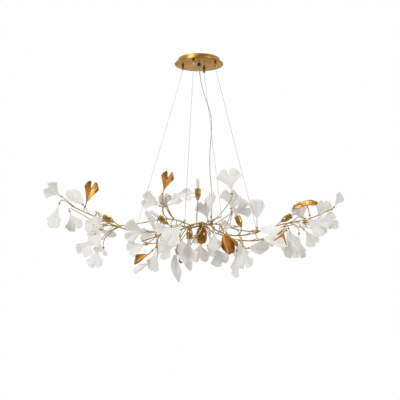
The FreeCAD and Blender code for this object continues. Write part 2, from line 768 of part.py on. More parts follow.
def hub_nodes():
    middle = place(hub_pixel, level_pixel, 0)
    neck_foot = middle + down * (neck_height / 2)
    neck = rod(neck_foot, up, neck_radius, neck_height)
    crown = [edge for edge in neck.Edges if edge.BoundBox.ZLength < overrun / 2]
    neck = neck.makeFillet(neck_rounding, crown)
    sockets = []
    for name in arm_routes:
        points = arm_points(name)
        sockets.append(rod(points[0], unit(points[1] - points[0]), arm_radius + fit_gap,
                           socket_depth + neck_radius))
    rod_hole = rod(neck_foot + down * overrun, up, tie_rod_radius + thread_gap, tie_rod_seat + overrun)
    neck = neck.cut(sockets + [rod_hole])
    bowl_foot = neck_foot + down * bowl_height
    bowl = turned(bowl_profile(0), bowl_foot, up).cut(turned(bowl_profile(bowl_wall), bowl_foot, up))
    bowl = bowl.cut(rod(bowl_foot + down * overrun, up, tie_rod_radius + fit_gap,
                        2 * bowl_wall + 2 * overrun))
    bowl = bowl.cut(rod(neck_foot + down * (2 * bowl_wall), up, tie_rod_radius + fit_gap,
                        2 * bowl_wall + overrun))
    tie_rod = rod(bowl_foot + down * (finial_hole_depth), up, tie_rod_radius,
                  bowl_height + finial_hole_depth + tie_rod_seat)
    knob = turned(finial_profile(), bowl_foot + down * finial_height, up)
    knob = knob.cut(rod(bowl_foot + up * overrun, down, tie_rod_radius + thread_gap,
                        finial_hole_depth + overrun))
    return {"hub_neck": [neck], "hub_bowl": [bowl], "hub_tie_rod": [tie_rod], "hub_finial": [knob]}


def bowl_profile(wall):
    # one bulging side between a foot disc and a top disc, drawn in by the wall all round
    foot = vector(bowl_foot_radius - wall, 0, wall)
    belly = vector(bowl_radius - wall, 0, bowl_height * bowl_belly_share)
    brim = vector(bowl_top_radius - wall, 0, bowl_height - wall)
    side = Part.Arc(foot, belly, brim).toShape()
    top = vector(0, 0, bowl_height - wall)
    base = vector(0, 0, wall)
    return [Part.makeLine(base, foot), side, Part.makeLine(brim, top), Part.makeLine(top, base)]


def finial_profile():
    tip = vector(0, 0, 0)
    swell = vector(finial_radius, 0, finial_height * finial_swell_share)
    brim = vector(finial_neck_radius, 0, finial_height)
    side = Part.Arc(tip, swell, brim).toShape()
    top = vector(0, 0, finial_height)
    return [side, Part.makeLine(brim, top), Part.makeLine(top, tip)]


def lamp_nodes():
    cups = []
    sockets = []
    nodes = {}
    for number, row in enumerate(lamp_places, 1):
        back, direction = lamp_frame(row)
        flare = outline([(0, 0), (cup_back_radius, 0), (cup_radius, cup_flare_length),
                         (cup_radius, cup_length), (cup_radius - cup_wall, cup_length),
                         (cup_radius - cup_wall, cup_flare_length), (cup_back_radius, cup_floor),
                         (0, cup_floor)])
        cups.append(turned(flare, back, direction))
        seat = back + direction * cup_floor
        body = rod(seat, direction, cup_back_radius, cup_flare_length - cup_floor)
        body = body.fuse(rod(seat + direction * (cup_flare_length - cup_floor), direction, socket_radius,
                             socket_height)).removeSplitter()
        face = seat + direction * (cup_flare_length - cup_floor + socket_height)
        side = unit(direction.cross(vector(0, 1, 0)))
        pins = []
        for sign in (-1, 1):
            pin_at = face + side * (sign * pin_spacing / 2)
            hole = rod(pin_at + direction * overrun, direction * -1, pin_radius + running_gap,
                       pin_length + 2 * overrun)
            body = body.cut(hole)
            pins.append(rod(pin_at + direction * (lamp_seat_gap - pin_length), direction, pin_radius,
                            pin_length + overrun))
        sockets.append(body)
        shoulder = lamp_length - lamp_radius
        glass = [Part.makeLine(vector(0, 0, 0), vector(lamp_radius, 0, 0)),
                 Part.makeLine(vector(lamp_radius, 0, 0), vector(lamp_radius, 0, shoulder)),
                 Part.Arc(vector(lamp_radius, 0, shoulder),
                          vector(lamp_radius * math.sin(math.pi / 4), 0,
                                 shoulder + lamp_radius * math.cos(math.pi / 4)),
                          vector(0, 0, lamp_length)).toShape(),
                 Part.makeLine(vector(0, 0, lamp_length), vector(0, 0, 0))]
        capsule = turned(glass, face + direction * lamp_seat_gap, direction)
        nodes["lamp_%d" % number] = [capsule.fuse(pins)]
    nodes["lamp_cups"] = cups
    nodes["lamp_sockets"] = sockets
    return nodes


arm_paths = {name: path(arm_points(name)) for name in arm_routes}


def spray_nodes():
    nodes = {}
    caps = []
    for name in arm_routes:
        nodes["branch_" + name] = [branch(name)]
        if name in white_leaves:
            nodes["white_leaves_" + name] = leaves(white_leaves[name])
        for row in white_leaves.get(name, ()) + gold_leaves.get(name, ()):
            caps.append(leaf_cap(row))
    nodes["leaf_caps"] = caps
    sides = {"left": ("left_main", "left_front", "left_rear"),
             "right": ("right_main", "right_front", "right_rear")}
    for side, names in sides.items():
        rows = [row for name in names for row in gold_leaves.get(name, ())]
        nodes["gold_leaves_" + side] = leaves(rows)
    return nodes


def write(nodes):
    os.makedirs("parts", exist_ok=True)
    for name, solids in nodes.items():
        shape = solids[0] if len(solids) == 1 else Part.makeCompound(solids)
        shape.exportStep(os.path.join("parts", name + ".step"))
        if not shape.isValid() or any(len(solid.Solids) != 1 for solid in solids):
            print("look at", name, [len(solid.Solids) for solid in solids])


write(canopy_nodes())
write(gland_nodes())
write(gripper_nodes())
write(wire_nodes())
write(cable_nodes())
write(hub_nodes())
write(lamp_nodes())
write(spray_nodes())
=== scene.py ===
import math

import bmesh
import bpy
from mathutils import Matrix, Vector


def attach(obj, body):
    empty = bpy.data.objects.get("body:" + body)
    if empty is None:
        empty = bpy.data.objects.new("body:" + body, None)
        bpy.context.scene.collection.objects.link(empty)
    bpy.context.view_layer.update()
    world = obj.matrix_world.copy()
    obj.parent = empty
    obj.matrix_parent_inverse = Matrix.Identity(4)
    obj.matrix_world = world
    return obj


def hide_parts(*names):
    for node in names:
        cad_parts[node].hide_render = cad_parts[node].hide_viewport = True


# Branch chandelier: metres, the origin in the canopy's middle on the ceiling, X to the right, Z up.
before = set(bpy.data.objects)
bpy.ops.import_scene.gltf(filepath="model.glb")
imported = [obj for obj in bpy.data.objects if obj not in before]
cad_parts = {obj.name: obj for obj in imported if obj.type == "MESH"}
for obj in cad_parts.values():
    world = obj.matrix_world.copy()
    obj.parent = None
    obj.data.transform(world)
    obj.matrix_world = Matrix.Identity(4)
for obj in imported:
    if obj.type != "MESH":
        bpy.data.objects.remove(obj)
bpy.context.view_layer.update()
mainBody = "chandelier"
print("frame loaded")


def linearColour(code):
    values = []
    for start in (1, 3, 5):
        share = int(code[start:start + 2], 16) / 255
        values.append(share / 12.92 if share <= 0.04045 else ((share + 0.055) / 1.055) ** 2.4)
    return (*values, 1)


def addNode(tree, kind, links=None, stops=None, **settings):
    # links give a socket, a node whose first output is meant, or a plain value; stops are the (position,
    # colour) pairs of a colour ramp
    node = tree.nodes.new(kind)
    for name, value in settings.items():
        setattr(node, name, value)
    for key, value in (links or {}).items():
        if isinstance(value, bpy.types.Node):
            value = value.outputs[0]
        if isinstance(value, bpy.types.NodeSocket):
            tree.links.new(value, node.inputs[key])
        else:
            node.inputs[key].default_value = value
    for index, (position, code) in enumerate(stops or ()):
        if index > 1:
            node.color_ramp.elements.new(position)
        node.color_ramp.elements[index].position = position
        node.color_ramp.elements[index].color = linearColour(code)
    return node


def linked(piece):
    bpy.context.scene.collection.objects.link(piece)
    return piece


def fitted(piece, slot, *nodes, body=mainBody):
    # rides a finished piece on its body, in place of the CAD nodes that it dresses
    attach(piece, body)
    if nodes:
        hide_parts(*nodes)
    return piece


# Where the photograph shows the spray, and its real size
sprayValues = {
    "halfLength": 0.75, "halfDepth": 0.28, "halfHeight": 0.3, "drop": 0.85, "eyeDistance": 3.2,
    "eyeDrop": 0.958, "middlePixel": 199, "levelPixel": 225, "halfLengthPixels": 148.5,
    "halfHeightPixels": 59.4, "hubPixel": 201.5,
}


def placeSeen(across, below, depthShare):
    # a place seen in the photograph, carried along its sight line to its own depth
    depth = sprayValues["halfDepth"] * depthShare
    x = sprayValues["halfLength"] * (across - sprayValues["middlePixel"]) / sprayValues["halfLengthPixels"]
    z = sprayValues["halfHeight"] * (sprayValues["levelPixel"] - below) / sprayValues["halfHeightPixels"]
    z -= sprayValues["drop"]
    stretch = depth / sprayValues["eyeDistance"]
    return Vector((x * (1 + stretch), depth, z + (z + sprayValues["eyeDrop"]) * stretch))


def turnOf(lean, nod, turn=0):
    return (Matrix.Rotation(math.radians(lean), 3, "Y") @ Matrix.Rotation(math.radians(nod), 3, "X")
            @ Matrix.Rotation(math.radians(turn), 3, "Z"))


# Camera at the photograph's place: level with the spray, looking slightly up at the canopy
cameraValues = {"place": (0.005, -3.2, -0.958), "tilt": 4.19, "lens": 57.2, "sensor": 36}
camera = linked(bpy.data.objects.new("camera", bpy.data.cameras.new("camera")))
camera.data.lens = cameraValues["lens"]
camera.data.sensor_width = cameraValues["sensor"]
camera.location = cameraValues["place"]
camera.rotation_euler = (math.radians(90 + cameraValues["tilt"]), 0, 0)
bpy.context.scene.camera = camera


# Finishes. Grain and cloud are the sizes of a fine and a coarse pattern in metres, and widthToDepth says
# how shallow the relief is. The tone goes from dark to light between the toneStops, and the gloss stays
# within glossRange of the roughness. A mix node's colours are its inputs 6 and 7 and its output 2
def startFinish(name, **values):
    material = bpy.data.materials.new(name)
    material.use_nodes = True
    shader = material.node_tree.nodes["Principled BSDF"]
    for key, value in values.items():
        shader.inputs[key.replace("_", " ")].default_value = value
    return material, material.node_tree, shader


def wear(tree, shader, values, tone=None, gloss=None, relief=None):
    # lets patterns between 0 and 1 choose the tone, the gloss and the relief
    if tone:
        colour = addNode(tree, "ShaderNodeValToRGB", {"Fac": tone},
                         tuple(zip(values["toneStops"], (values["dark"], values["light"]))))
        tree.links.new(colour.outputs[0], shader.inputs["Base Color"])
    if gloss:
        under, over = values["glossRange"]
        spread = addNode(tree, "ShaderNodeMapRange", {
            "Value": gloss, "To Min": values["roughness"] + under, "To Max": values["roughness"] + over})
        tree.links.new(spread.outputs[0], shader.inputs["Roughness"])
    if relief:
        bump = addNode(tree, "ShaderNodeBump", {
            "Height": relief, "Strength": values["relief"],
            "Distance": values["grain"] / values["widthToDepth"]})
        tree.links.new(bump.outputs[0], shader.inputs["Normal"])


grainedValues = {
    # drawn brass rod, toned and lacquered: pale brown-gold with worn lighter runs
    "tonedBrassRod": {"light": "#C8AC6E", "dark": "#8A7547", "roughness": 0.3, "grain": 0.0022, "coat": 0.2},
    # turned brass, toned like the rods: a little yellower and glossier
    "turnedBrass": {"light": "#C4A45E", "dark": "#92743A", "roughness": 0.26, "grain": 0.002, "coat": 0.25},
    # polished brass, toned dark: almost a mirror of deep orange-brown
    "darkPolishedBrass": {"light": "#A8783A", "dark": "#74501F", "roughness": 0.14, "grain": 0.006,
                          "coat": 0.6},
    # zinc-plated pressed steel: grey with a cloudy spangle
    "zincPlatedSteel": {"light": "#B9BCC0", "dark": "#9A9DA2", "roughness": 0.38, "grain": 0.003, "coat": 0},
    # nickel plating: a warm bright grey
    "nickelPlate": {"light": "#CFCBC2", "dark": "#B4AFA5", "roughness": 0.2, "grain": 0.002, "coat": 0},
    # drawn stainless wire: steel grey darkened to mid grey by painted shade of strand gaps, its drawing
    # lines as coarse as they need to show
    "drawnSteelWire": {"light": "#9A9B9E", "dark": "#77787B", "roughness": 0.28, "grain": 0.0012, "coat": 0},
    # machined brass of the earth screw and the gripper barrels: fresh yellow, finely matt
    "machinedBrass": {"light": "#D0AC66", "dark": "#B08C48", "roughness": 0.34, "grain": 0.0015, "coat": 0},
    "all": {"toneStops": (0.32, 0.68), "glossRange": (-0.05, 0.06), "relief": 0.15, "widthToDepth": 12,
            "patchGrains": 9, "coatRoughness": 0.08},
}


def grainedMetal(name):
    # tone in soft patches, gloss and a slight relief in a fine grain
    values = {**grainedValues["all"], **grainedValues[name]}
    material, tree, shader = startFinish(name, Metallic=1, Coat_Weight=values["coat"],
                                         Coat_Roughness=values["coatRoughness"])
    place = addNode(tree, "ShaderNodeTexCoord").outputs["Object"]
    patches = addNode(tree, "ShaderNodeTexNoise", {
        "Vector": place, "Scale": 1 / (values["patchGrains"] * values["grain"]), "Detail": 4})
    fine = addNode(tree, "ShaderNodeTexNoise", {"Vector": place, "Scale": 1 / values["grain"], "Detail": 3})
    wear(tree, shader, values, patches, fine, fine)
    return material


tonedBrassRod = grainedMetal("tonedBrassRod")
turnedBrass = grainedMetal("turnedBrass")
darkPolishedBrass = grainedMetal("darkPolishedBrass")
zincPlatedSteel = grainedMetal("zincPlatedSteel")
nickelPlate = grainedMetal("nickelPlate")
drawnSteelWire = grainedMetal("drawnSteelWire")
machinedBrass = grainedMetal("machinedBrass")

ringedValues = {
    # spun brass brushed to satin: rings round the axis, a broad soft highlight
    "spunBrass": {"light": "#C29A52", "dark": "#94702F", "edge": "#FFFFFF", "roughness": 0.38,
                  "grain": 0.0018},
    # spun brass plate polished under lacquer, gold also at a low angle; its dark brown-gold clouds are a
    # painted reflection of a dark room and the spray
    "plateBrassPaintedReflection": {"light": "#B48A44", "dark": "#6A4A1E", "edge": "#F3E4CA", "roughness": 0.18,
                           "grain": 0.003},
    "all": {"toneStops": (0.35, 0.62), "glossRange": (-0.06, 0.08), "relief": 0.25, "widthToDepth": 9,
            "cloud": 0.0714286, "anisotropy": 0.35},
}


def ringedMetal(name):
    # the spinning tool's rings follow the distance from the axis and the height
    values = {**ringedValues["all"], **ringedValues[name]}
    material, tree, shader = startFinish(name, Metallic=1, Anisotropic=values["anisotropy"],
                                         Specular_Tint=linearColour(values["edge"]))
    place = addNode(tree, "ShaderNodeTexCoord").outputs["Object"]
    parts = addNode(tree, "ShaderNodeSeparateXYZ", {0: place}).outputs
    flat = addNode(tree, "ShaderNodeCombineXYZ", {0: parts[0], 1: parts[1]})
    reach = addNode(tree, "ShaderNodeVectorMath", {0: flat}, operation="LENGTH")
    along = addNode(tree, "ShaderNodeCombineXYZ", {0: reach.outputs["Value"], 1: parts[2]})
    rings = addNode(tree, "ShaderNodeTexNoise", {"Vector": along, "Scale": 1 / values["grain"], "Detail": 2})
    # on the plate these clouds are a painted reflection; on the drum they are a random tone
    clouds = addNode(tree, "ShaderNodeTexNoise", {
        "Vector": place, "Scale": 1 / values["cloud"], "Detail": 3})
    both = addNode(tree, "ShaderNodeMath", {0: rings, 1: clouds}, operation="ADD")
    half = addNode(tree, "ShaderNodeMath", {0: both, 1: 0.5}, operation="MULTIPLY")
    wear(tree, shader, values, half, rings, rings)
    return material


spunBrass = ringedMetal("spunBrass")
plateBrassPaintedReflection = ringedMetal("plateBrassPaintedReflection")

mouldedValues = {
    # moulded polycarbonate: smooth off-white
    "mouldedPolycarbonate": {"light": "#E9E6DC", "dark": "#DEDACD", "roughness": 0.35, "grain": 0.003},
    # moulded natural nylon, waxy; its dark brown colour is a painted reflection of the brass about it
    "mouldedNylon": {"light": "#5E4626", "dark": "#46331A", "roughness": 0.4, "grain": 0.003},
    # fired steatite without glaze: white, dry and finely rough
    "firedSteatite": {"light": "#EDEAE2", "dark": "#E0DCD2", "roughness": 0.7, "grain": 0.0015},
    "all": {"toneStops": (0.3, 0.7), "relief": 0.12, "widthToDepth": 15, "patchGrains": 6},
}


def mouldedBody(name):
    values = {**mouldedValues["all"], **mouldedValues[name]}
    material, tree, shader = startFinish(name, Roughness=values["roughness"])
    place = addNode(tree, "ShaderNodeTexCoord").outputs["Object"]
    patches = addNode(tree, "ShaderNodeTexNoise", {
        "Vector": place, "Scale": 1 / (values["patchGrains"] * values["grain"]), "Detail": 3})
    skin = addNode(tree, "ShaderNodeTexNoise", {"Vector": place, "Scale": 1 / values["grain"], "Detail": 2})
    wear(tree, shader, values, tone=patches, relief=skin)
    return material


mouldedPolycarbonate = mouldedBody("mouldedPolycarbonate")
mouldedNylon = mouldedBody("mouldedNylon")
firedSteatite = mouldedBody("firedSteatite")

glassValues = {"tint": "#F3F0E6", "roughness": 0.45, "glossRange": (-0.1, 0.1), "transmission": 0.55,
               "ior": 1.47, "grain": 0.0012, "relief": 0.2, "widthToDepth": 10}


def frostedGlass():
    # blown glass frosted by acid: milky, lets light through without a view into it
    material, tree, shader = startFinish(
        "frostedGlass", Transmission_Weight=glassValues["transmission"], IOR=glassValues["ior"],
        Base_Color=linearColour(glassValues["tint"]))
    place = addNode(tree, "ShaderNodeTexCoord").outputs["Object"]
    frost = addNode(tree, "ShaderNodeTexNoise", {
        "Vector": place, "Scale": 1 / glassValues["grain"], "Detail": 3})
    wear(tree, shader, glassValues, gloss=frost, relief=frost)
    return material


sheathValues = {"light": "#F4F6F6", "dark": "#E4E7E8", "toneStops": (0.2, 0.8), "roughness": 0.12,
                "transmission": 0.5, "ior": 1.53, "grain": 0.004, "relief": 0.15, "widthToDepth": 20}


def clearSheath():
    # extruded clear PVC: glassy, a little grey at its edges, with slow ripples from drawing
    material, tree, shader = startFinish(
        "clearSheath", Roughness=sheathValues["roughness"], IOR=sheathValues["ior"],
        Transmission_Weight=sheathValues["transmission"])
    place = addNode(tree, "ShaderNodeTexCoord").outputs["Object"]
    ripple = addNode(tree, "ShaderNodeTexNoise", {
        "Vector": place, "Scale": 1 / sheathValues["grain"], "Detail": 2})
    wear(tree, shader, sheathValues, tone=ripple, relief=ripple)
    return material


lampGlass = frostedGlass()
clearPvc = clearSheath()

# Leaves' finishes follow the blade's own map: across it from edge to edge, up from stalk to margin
# the porcelain's stalk colour is a painted reflection of the brass cap and twig, warmer towards the stalk
bisqueValues = {"light": "#F4F2EE", "dark": "#E9E6DF", "stalk": "#EFEAE0", "toneStops": (0.3, 0.65),
                "roughness": 0.62, "veins": 70, "veinWander": 3, "wanders": 3, "veinRelief": 0.5,
                "veinDepth": 0.0003, "cloud": 0.0625, "grain": 0.0035, "grainRelief": 0.2,
                "widthToDepth": 12, "stalkReflectionFade": (0.05, 0.4)}


def bisquePorcelain():
    # unglazed fired porcelain: matt white with a faint warm cast, fine veins pressed from stalk to margin
    values = bisqueValues
    material, tree, shader = startFinish("bisquePorcelain", Roughness=values["roughness"])
    place = addNode(tree, "ShaderNodeTexCoord").outputs["Object"]
    blade = addNode(tree, "ShaderNodeUVMap", uv_map="bladeMap")
    parts = addNode(tree, "ShaderNodeSeparateXYZ", {0: blade}).outputs
    straight = addNode(tree, "ShaderNodeMath", {0: parts[0], 1: values["veins"]}, operation="MULTIPLY")
    wander = addNode(tree, "ShaderNodeTexNoise", {
        "Vector": blade, "Scale": values["wanders"], "Detail": 1})
    bent = addNode(tree, "ShaderNodeMath", {0: wander, 1: values["veinWander"], 2: straight},
                   operation="MULTIPLY_ADD")
    veins = addNode(tree, "ShaderNodeMath", {0: bent, 1: 1}, operation="PINGPONG")
    clay = addNode(tree, "ShaderNodeTexNoise", {"Vector": place, "Scale": 1 / values["grain"], "Detail": 4})
    clouds = addNode(tree, "ShaderNodeTexNoise", {
        "Vector": place, "Scale": 1 / values["cloud"], "Detail": 3})
    tone = addNode(tree, "ShaderNodeValToRGB", {"Fac": clouds},
                   tuple(zip(values["toneStops"], (values["dark"], values["light"]))))
    # painted reflection of the brass: the tone fades to the warmer stalk colour near the stalk
    stalkReflectionMask = addNode(tree, "ShaderNodeMapRange", {
        "Value": parts[1], "From Min": values["stalkReflectionFade"][0], "From Max": values["stalkReflectionFade"][1],
        "To Min": 1, "To Max": 0})
    mixed = addNode(tree, "ShaderNodeMix", {
        "Factor": stalkReflectionMask, 6: tone, 7: linearColour(values["stalk"])}, data_type="RGBA")
    pressed = addNode(tree, "ShaderNodeBump", {
        "Height": veins, "Strength": values["veinRelief"], "Distance": values["veinDepth"]})
    relief = addNode(tree, "ShaderNodeBump", {
        "Height": clay, "Strength": values["grainRelief"], "Normal": pressed,
        "Distance": values["grain"] / values["widthToDepth"]})
    tree.links.new(mixed.outputs[2], shader.inputs["Base Color"])
    tree.links.new(relief.outputs[0], shader.inputs["Normal"])
    return material


gildedValues = {"stalk": "#E0A44C", "face": "#E6A850", "rim": "#966634", "toneStops": (0.1, 0.62, 0.97),
                "roughness": 0.34, "coat": 0.3, "coatRoughness": 0.06, "cloud": 0.025, "cloudLift": 0.24,
                "veins": 44, "veinShadeTone": "#8C5824", "veinWidth": 0.25, "veinShade": 0.6, "veinRelief": 0.6,
                "veinDepth": 0.00022}


def gildedLeafBrass():
    # pressed brass, polished and lacquered orange-gold; a painted highlight keeps it bright on its face, and
    # painted shade turns it brown towards the rim and in the vein grooves
    values = gildedValues
    material, tree, shader = startFinish(
        "gildedLeafBrass", Metallic=1, Roughness=values["roughness"], Coat_Weight=values["coat"],
        Coat_Roughness=values["coatRoughness"])
    place = addNode(tree, "ShaderNodeTexCoord").outputs["Object"]
    blade = addNode(tree, "ShaderNodeUVMap", uv_map="bladeMap")
    parts = addNode(tree, "ShaderNodeSeparateXYZ", {0: blade}).outputs
    clouds = addNode(tree, "ShaderNodeTexNoise", {
        "Vector": place, "Scale": 1 / values["cloud"], "Detail": 4})
    lift = addNode(tree, "ShaderNodeMath", {0: clouds, 1: values["cloudLift"], 2: -values["cloudLift"] / 2},
                   operation="MULTIPLY_ADD")
    height = addNode(tree, "ShaderNodeMath", {0: parts[1], 1: lift}, operation="ADD")
    # painted highlight and shade: the tone runs from the stalk colour to a bright face, then to a brown rim
    tone = addNode(tree, "ShaderNodeValToRGB", {"Fac": height},
                   tuple(zip(values["toneStops"], (values["stalk"], values["face"], values["rim"]))))
    veinPlace = addNode(tree, "ShaderNodeMath", {0: parts[0], 1: values["veins"]}, operation="MULTIPLY")
    veins = addNode(tree, "ShaderNodeMath", {0: veinPlace, 1: 1}, operation="PINGPONG")
    # painted shade: the vein grooves are darkened towards a dark brown
    hollow = addNode(tree, "ShaderNodeMapRange", {
        "Value": veins, "From Min": values["veinWidth"], "From Max": 0, "To Min": 0,
        "To Max": values["veinShade"]})
    mixed = addNode(tree, "ShaderNodeMix", {
        "Factor": hollow, 6: tone, 7: linearColour(values["veinShadeTone"])}, data_type="RGBA")
    relief = addNode(tree, "ShaderNodeBump", {
        "Height": veins, "Strength": values["veinRelief"], "Distance": values["veinDepth"]})
    tree.links.new(mixed.outputs[2], shader.inputs["Base Color"])
    tree.links.new(relief.outputs[0], shader.inputs["Normal"])
    return material


bisqueLeaf = bisquePorcelain()
gildedLeaf = gildedLeafBrass()
print("finishes made")

# Cords: each wire's gripper top, corner under the nose, a point just past it, and its low end
wireValues = {
    "diameter": 0.0015, "sides": 3, "pastCorner": 0.009, "exitLevel": -0.012,
    "wire_left": ((-0.08369, 0.02719, -0.007), (-0.08369, 0.02719, -0.0553), (-0.31264, 0.00044, -0.85671)),
    "wire_right": ((0.08369, -0.02719, -0.007), (0.08369, -0.02719, -0.0553), (0.28383, -0.03003, -0.86145)),
    "wire_near": (
        (-0.02719, -0.08369, -0.007), (-0.02719, -0.08369, -0.0553), (-0.07222, -0.00849, -0.84003)),
    "wire_far": ((0.02719, 0.08369, -0.007), (0.02719, 0.08369, -0.0553), (0.11966, 0.11463, -0.82255)),
    "lengths": {"wire_left": 0.8822, "wire_right": 0.8789, "wire_near": 0.8379, "wire_far": 0.8217},
}
cableValues = {
    "diameter": 0.005, "length": 0.8095, "sides": 6, "exit": (0, 0, -0.037), "cores": 3,
    "coreRadius": 0.00062, "coreSpread": 0.00085, "coreLay": 0.03,
    "route": (
        (0, 0, -0.03), (0, 0, -0.047), (0.0101, 0.0056, -0.1162), (0.0203, 0.014, -0.1546),
        (0.033, 0.0196, -0.1989), (0.0484, 0.0252, -0.2383), (0.0601, 0.028, -0.2835),
        (0.0653, 0.0308, -0.3339), (0.0633, 0.0336, -0.3895), (0.0572, 0.0364, -0.4504),
        (0.0542, 0.0392, -0.5164), (0.0563, 0.042, -0.5825), (0.0625, 0.0476, -0.6434),
        (0.0668, 0.056, -0.7042), (0.0649, 0.0616, -0.7604), (0.06475, 0.07003, -0.82673),
    ),
}
curveSteps = {"cord": 12, "line": 16, "core": 2}


def startCurve(name, steps, thickness=0, sides=0):
    curve = bpy.data.curves.new(name, "CURVE")
    curve.dimensions = "3D"
    curve.resolution_u = steps
    curve.bevel_depth = thickness / 2
    curve.bevel_resolution = sides
    return curve


def routeSpline(curve, points, radii=None):
    spline = curve.splines.new("NURBS")
    spline.points.add(len(points) - 1)
    for index, point in enumerate(points):
        spline.points[index].co = (*point, 1)
        spline.points[index].radius = radii[index] if radii else 1
    spline.order_u = 3
    spline.use_endpoint_u = True


def cordCurve(name, points, values, material):
    curve = startCurve(name, curveSteps["cord"], values["diameter"], values["sides"])
    curve.use_fill_caps = True
    routeSpline(curve, points)
    curve.materials.append(material)
    return linked(bpy.data.objects.new(name, curve))


for wireName, wireLength in wireValues["lengths"].items():
    top, corner, low = (Vector(point) for point in wireValues[wireName])
    past = corner + (low - corner).normalized() * wireValues["pastCorner"]
    wire = cordCurve(wireName.replace("wire_", "steelWire."), (top, corner, past, low), wireValues,
                     drawnSteelWire)
    fitted(wire, "wire_steel", wireName)

sheath = cordCurve("powerCable", cableValues["route"], cableValues, clearPvc)


def routeLine(points):
    # the points of the route's own spline
    curve = startCurve("routeLine", curveSteps["line"])
    routeSpline(curve, points)
    holder = linked(bpy.data.objects.new("routeLine", curve))
    graph = bpy.context.evaluated_depsgraph_get()
    mesh = bpy.data.meshes.new_from_object(holder.evaluated_get(graph), depsgraph=graph)
    line = [vertex.co.copy() for vertex in mesh.vertices]
    bpy.data.objects.remove(holder)
    bpy.data.meshes.remove(mesh)
    return line


def twistedCores(line):
    # tinned cores laid round each other inside the clear sheath
    curve = startCurve("cableCores", curveSteps["core"], 2 * cableValues["coreRadius"], 1)
    for core in range(cableValues["cores"]):
        walked = 0
        points = []
        for before, here in zip(line, line[1:]):
            ahead = (here - before).normalized()
            side = ahead.cross(Vector((0, 1, 0))).normalized()
            up = side.cross(ahead)
            turn = 2 * math.pi * (walked / cableValues["coreLay"] + core / cableValues["cores"])
            points.append(before + (side * math.cos(turn) + up * math.sin(turn)) * cableValues["coreSpread"])
            walked += (here - before).length
        routeSpline(curve, points)
    curve.materials.append(nickelPlate)
    return linked(bpy.data.objects.new("cableCores", curve))


cores = fitted(twistedCores(routeLine(cableValues["route"])), "nickel")
fitted(sheath, "cable_pvc", "power_cable")
print("cords drawn")


# Geometry node trees
def startTree(name, inputs, outputs=(("Geometry", "Geometry"),)):
    tree = bpy.data.node_groups.new(name, "GeometryNodeTree")
    for way, sockets in (("INPUT", inputs.items()), ("OUTPUT", outputs)):
        for label, kind in sockets:
            tree.interface.new_socket(label, in_out=way, socket_type="NodeSocket" + kind)
    return tree, addNode(tree, "NodeGroupInput").outputs


def endTree(tree, geometry, material, smooth=True):
    if smooth:
        geometry = addNode(tree, "GeometryNodeSetShadeSmooth", {0: geometry})
    realized = addNode(tree, "GeometryNodeRealizeInstances", {0: geometry})
    finished = addNode(tree, "GeometryNodeSetMaterial", {0: realized, 2: material})
    addNode(tree, "NodeGroupOutput", {0: finished})
    return tree


def grow(name, source, tree, values, spare=()):
    # runs a tree on a mesh or curve and keeps what it gives as a plain mesh, without the spare attributes
    holder = linked(bpy.data.objects.new(name + ".source", source))
    modifier = holder.modifiers.new("tree", "NODES")
    modifier.node_group = tree
    for socket in tree.interface.items_tree:
        if socket.in_out == "INPUT" and socket.name in values:
            modifier[socket.identifier] = values[socket.name]
    graph = bpy.context.evaluated_depsgraph_get()
    mesh = bpy.data.meshes.new_from_object(holder.evaluated_get(graph), preserve_all_data_layers=True,
                                           depsgraph=graph)
    bpy.data.objects.remove(holder)
    mesh.name = name
    for key in spare:
        if key in mesh.attributes:
            mesh.attributes.remove(mesh.attributes[key])
    return linked(bpy.data.objects.new(name, mesh))


def seats(name, rows):
    # a mesh of bare points with the numbers that a tree reads from each of them
    mesh = bpy.data.meshes.new(name)
    mesh.from_pydata([row["seat"] for row in rows], [], [])
    kinds = {"seat": ("FLOAT_VECTOR", "vector"), "turn": ("QUATERNION", "value")}
    for key in rows[0]:
        kind, field = kinds.get(key, ("FLOAT", "value"))
        values = mesh.attributes.new(key, kind, "POINT")
        for index, row in enumerate(rows):
            setattr(values.data[index], field, row[key])
    return mesh


# Leaves. A mould gives its sizes in metres, then what shapes the blade
leafSizes = ("length", "width", "cornerDrop", "cleft", "curl", "cup", "ruffle")
leafShares = ("stalkShare", "flarePower", "cleftShare", "waves")
leafMoulds = {
    "open": (0.118, 0.112, 0.044, 0.034, 0.01, 0.012, 0.005, 0.14, 1.35, 0.11, 3),
    "medium": (0.1, 0.092, 0.036, 0.018, -0.008, 0.014, 0.004, 0.12, 1.3, 0.13, 2.5),
    "small": (0.08, 0.07, 0.028, 0.013, 0.008, 0.009, 0.003, 0.16, 1.25, 0.14, 2),
    "tulip": (0.13, 0.07, 0.036, 0.04, 0.012, 0.015, 0.004, 0.2, 1.1, 0.15, 2),
    "spoon": (0.14, 0.062, 0.05, 0.006, -0.012, 0.02, 0.003, 0.3, 0.75, 0.15, 1.5),
    "forked": (0.064, 0.066, 0.002, 0.034, 0.004, 0.006, 0.002, 0.16, 1, 0.55, 1),
    "crescent": (0.082, 0.142, 0.036, 0.003, 0.05, 0.008, 0.003, 0.68, 0.6, 0.12, 2),
    "oval": (0.104, 0.07, 0.044, 0.004, 0.012, 0.012, 0.003, 0.13, 0.62, 0.14, 1.5),
    "long": (0.138, 0.094, 0.03, 0.01, 0.01, 0.012, 0.005, 0.36, 0.8, 0.13, 3),
}
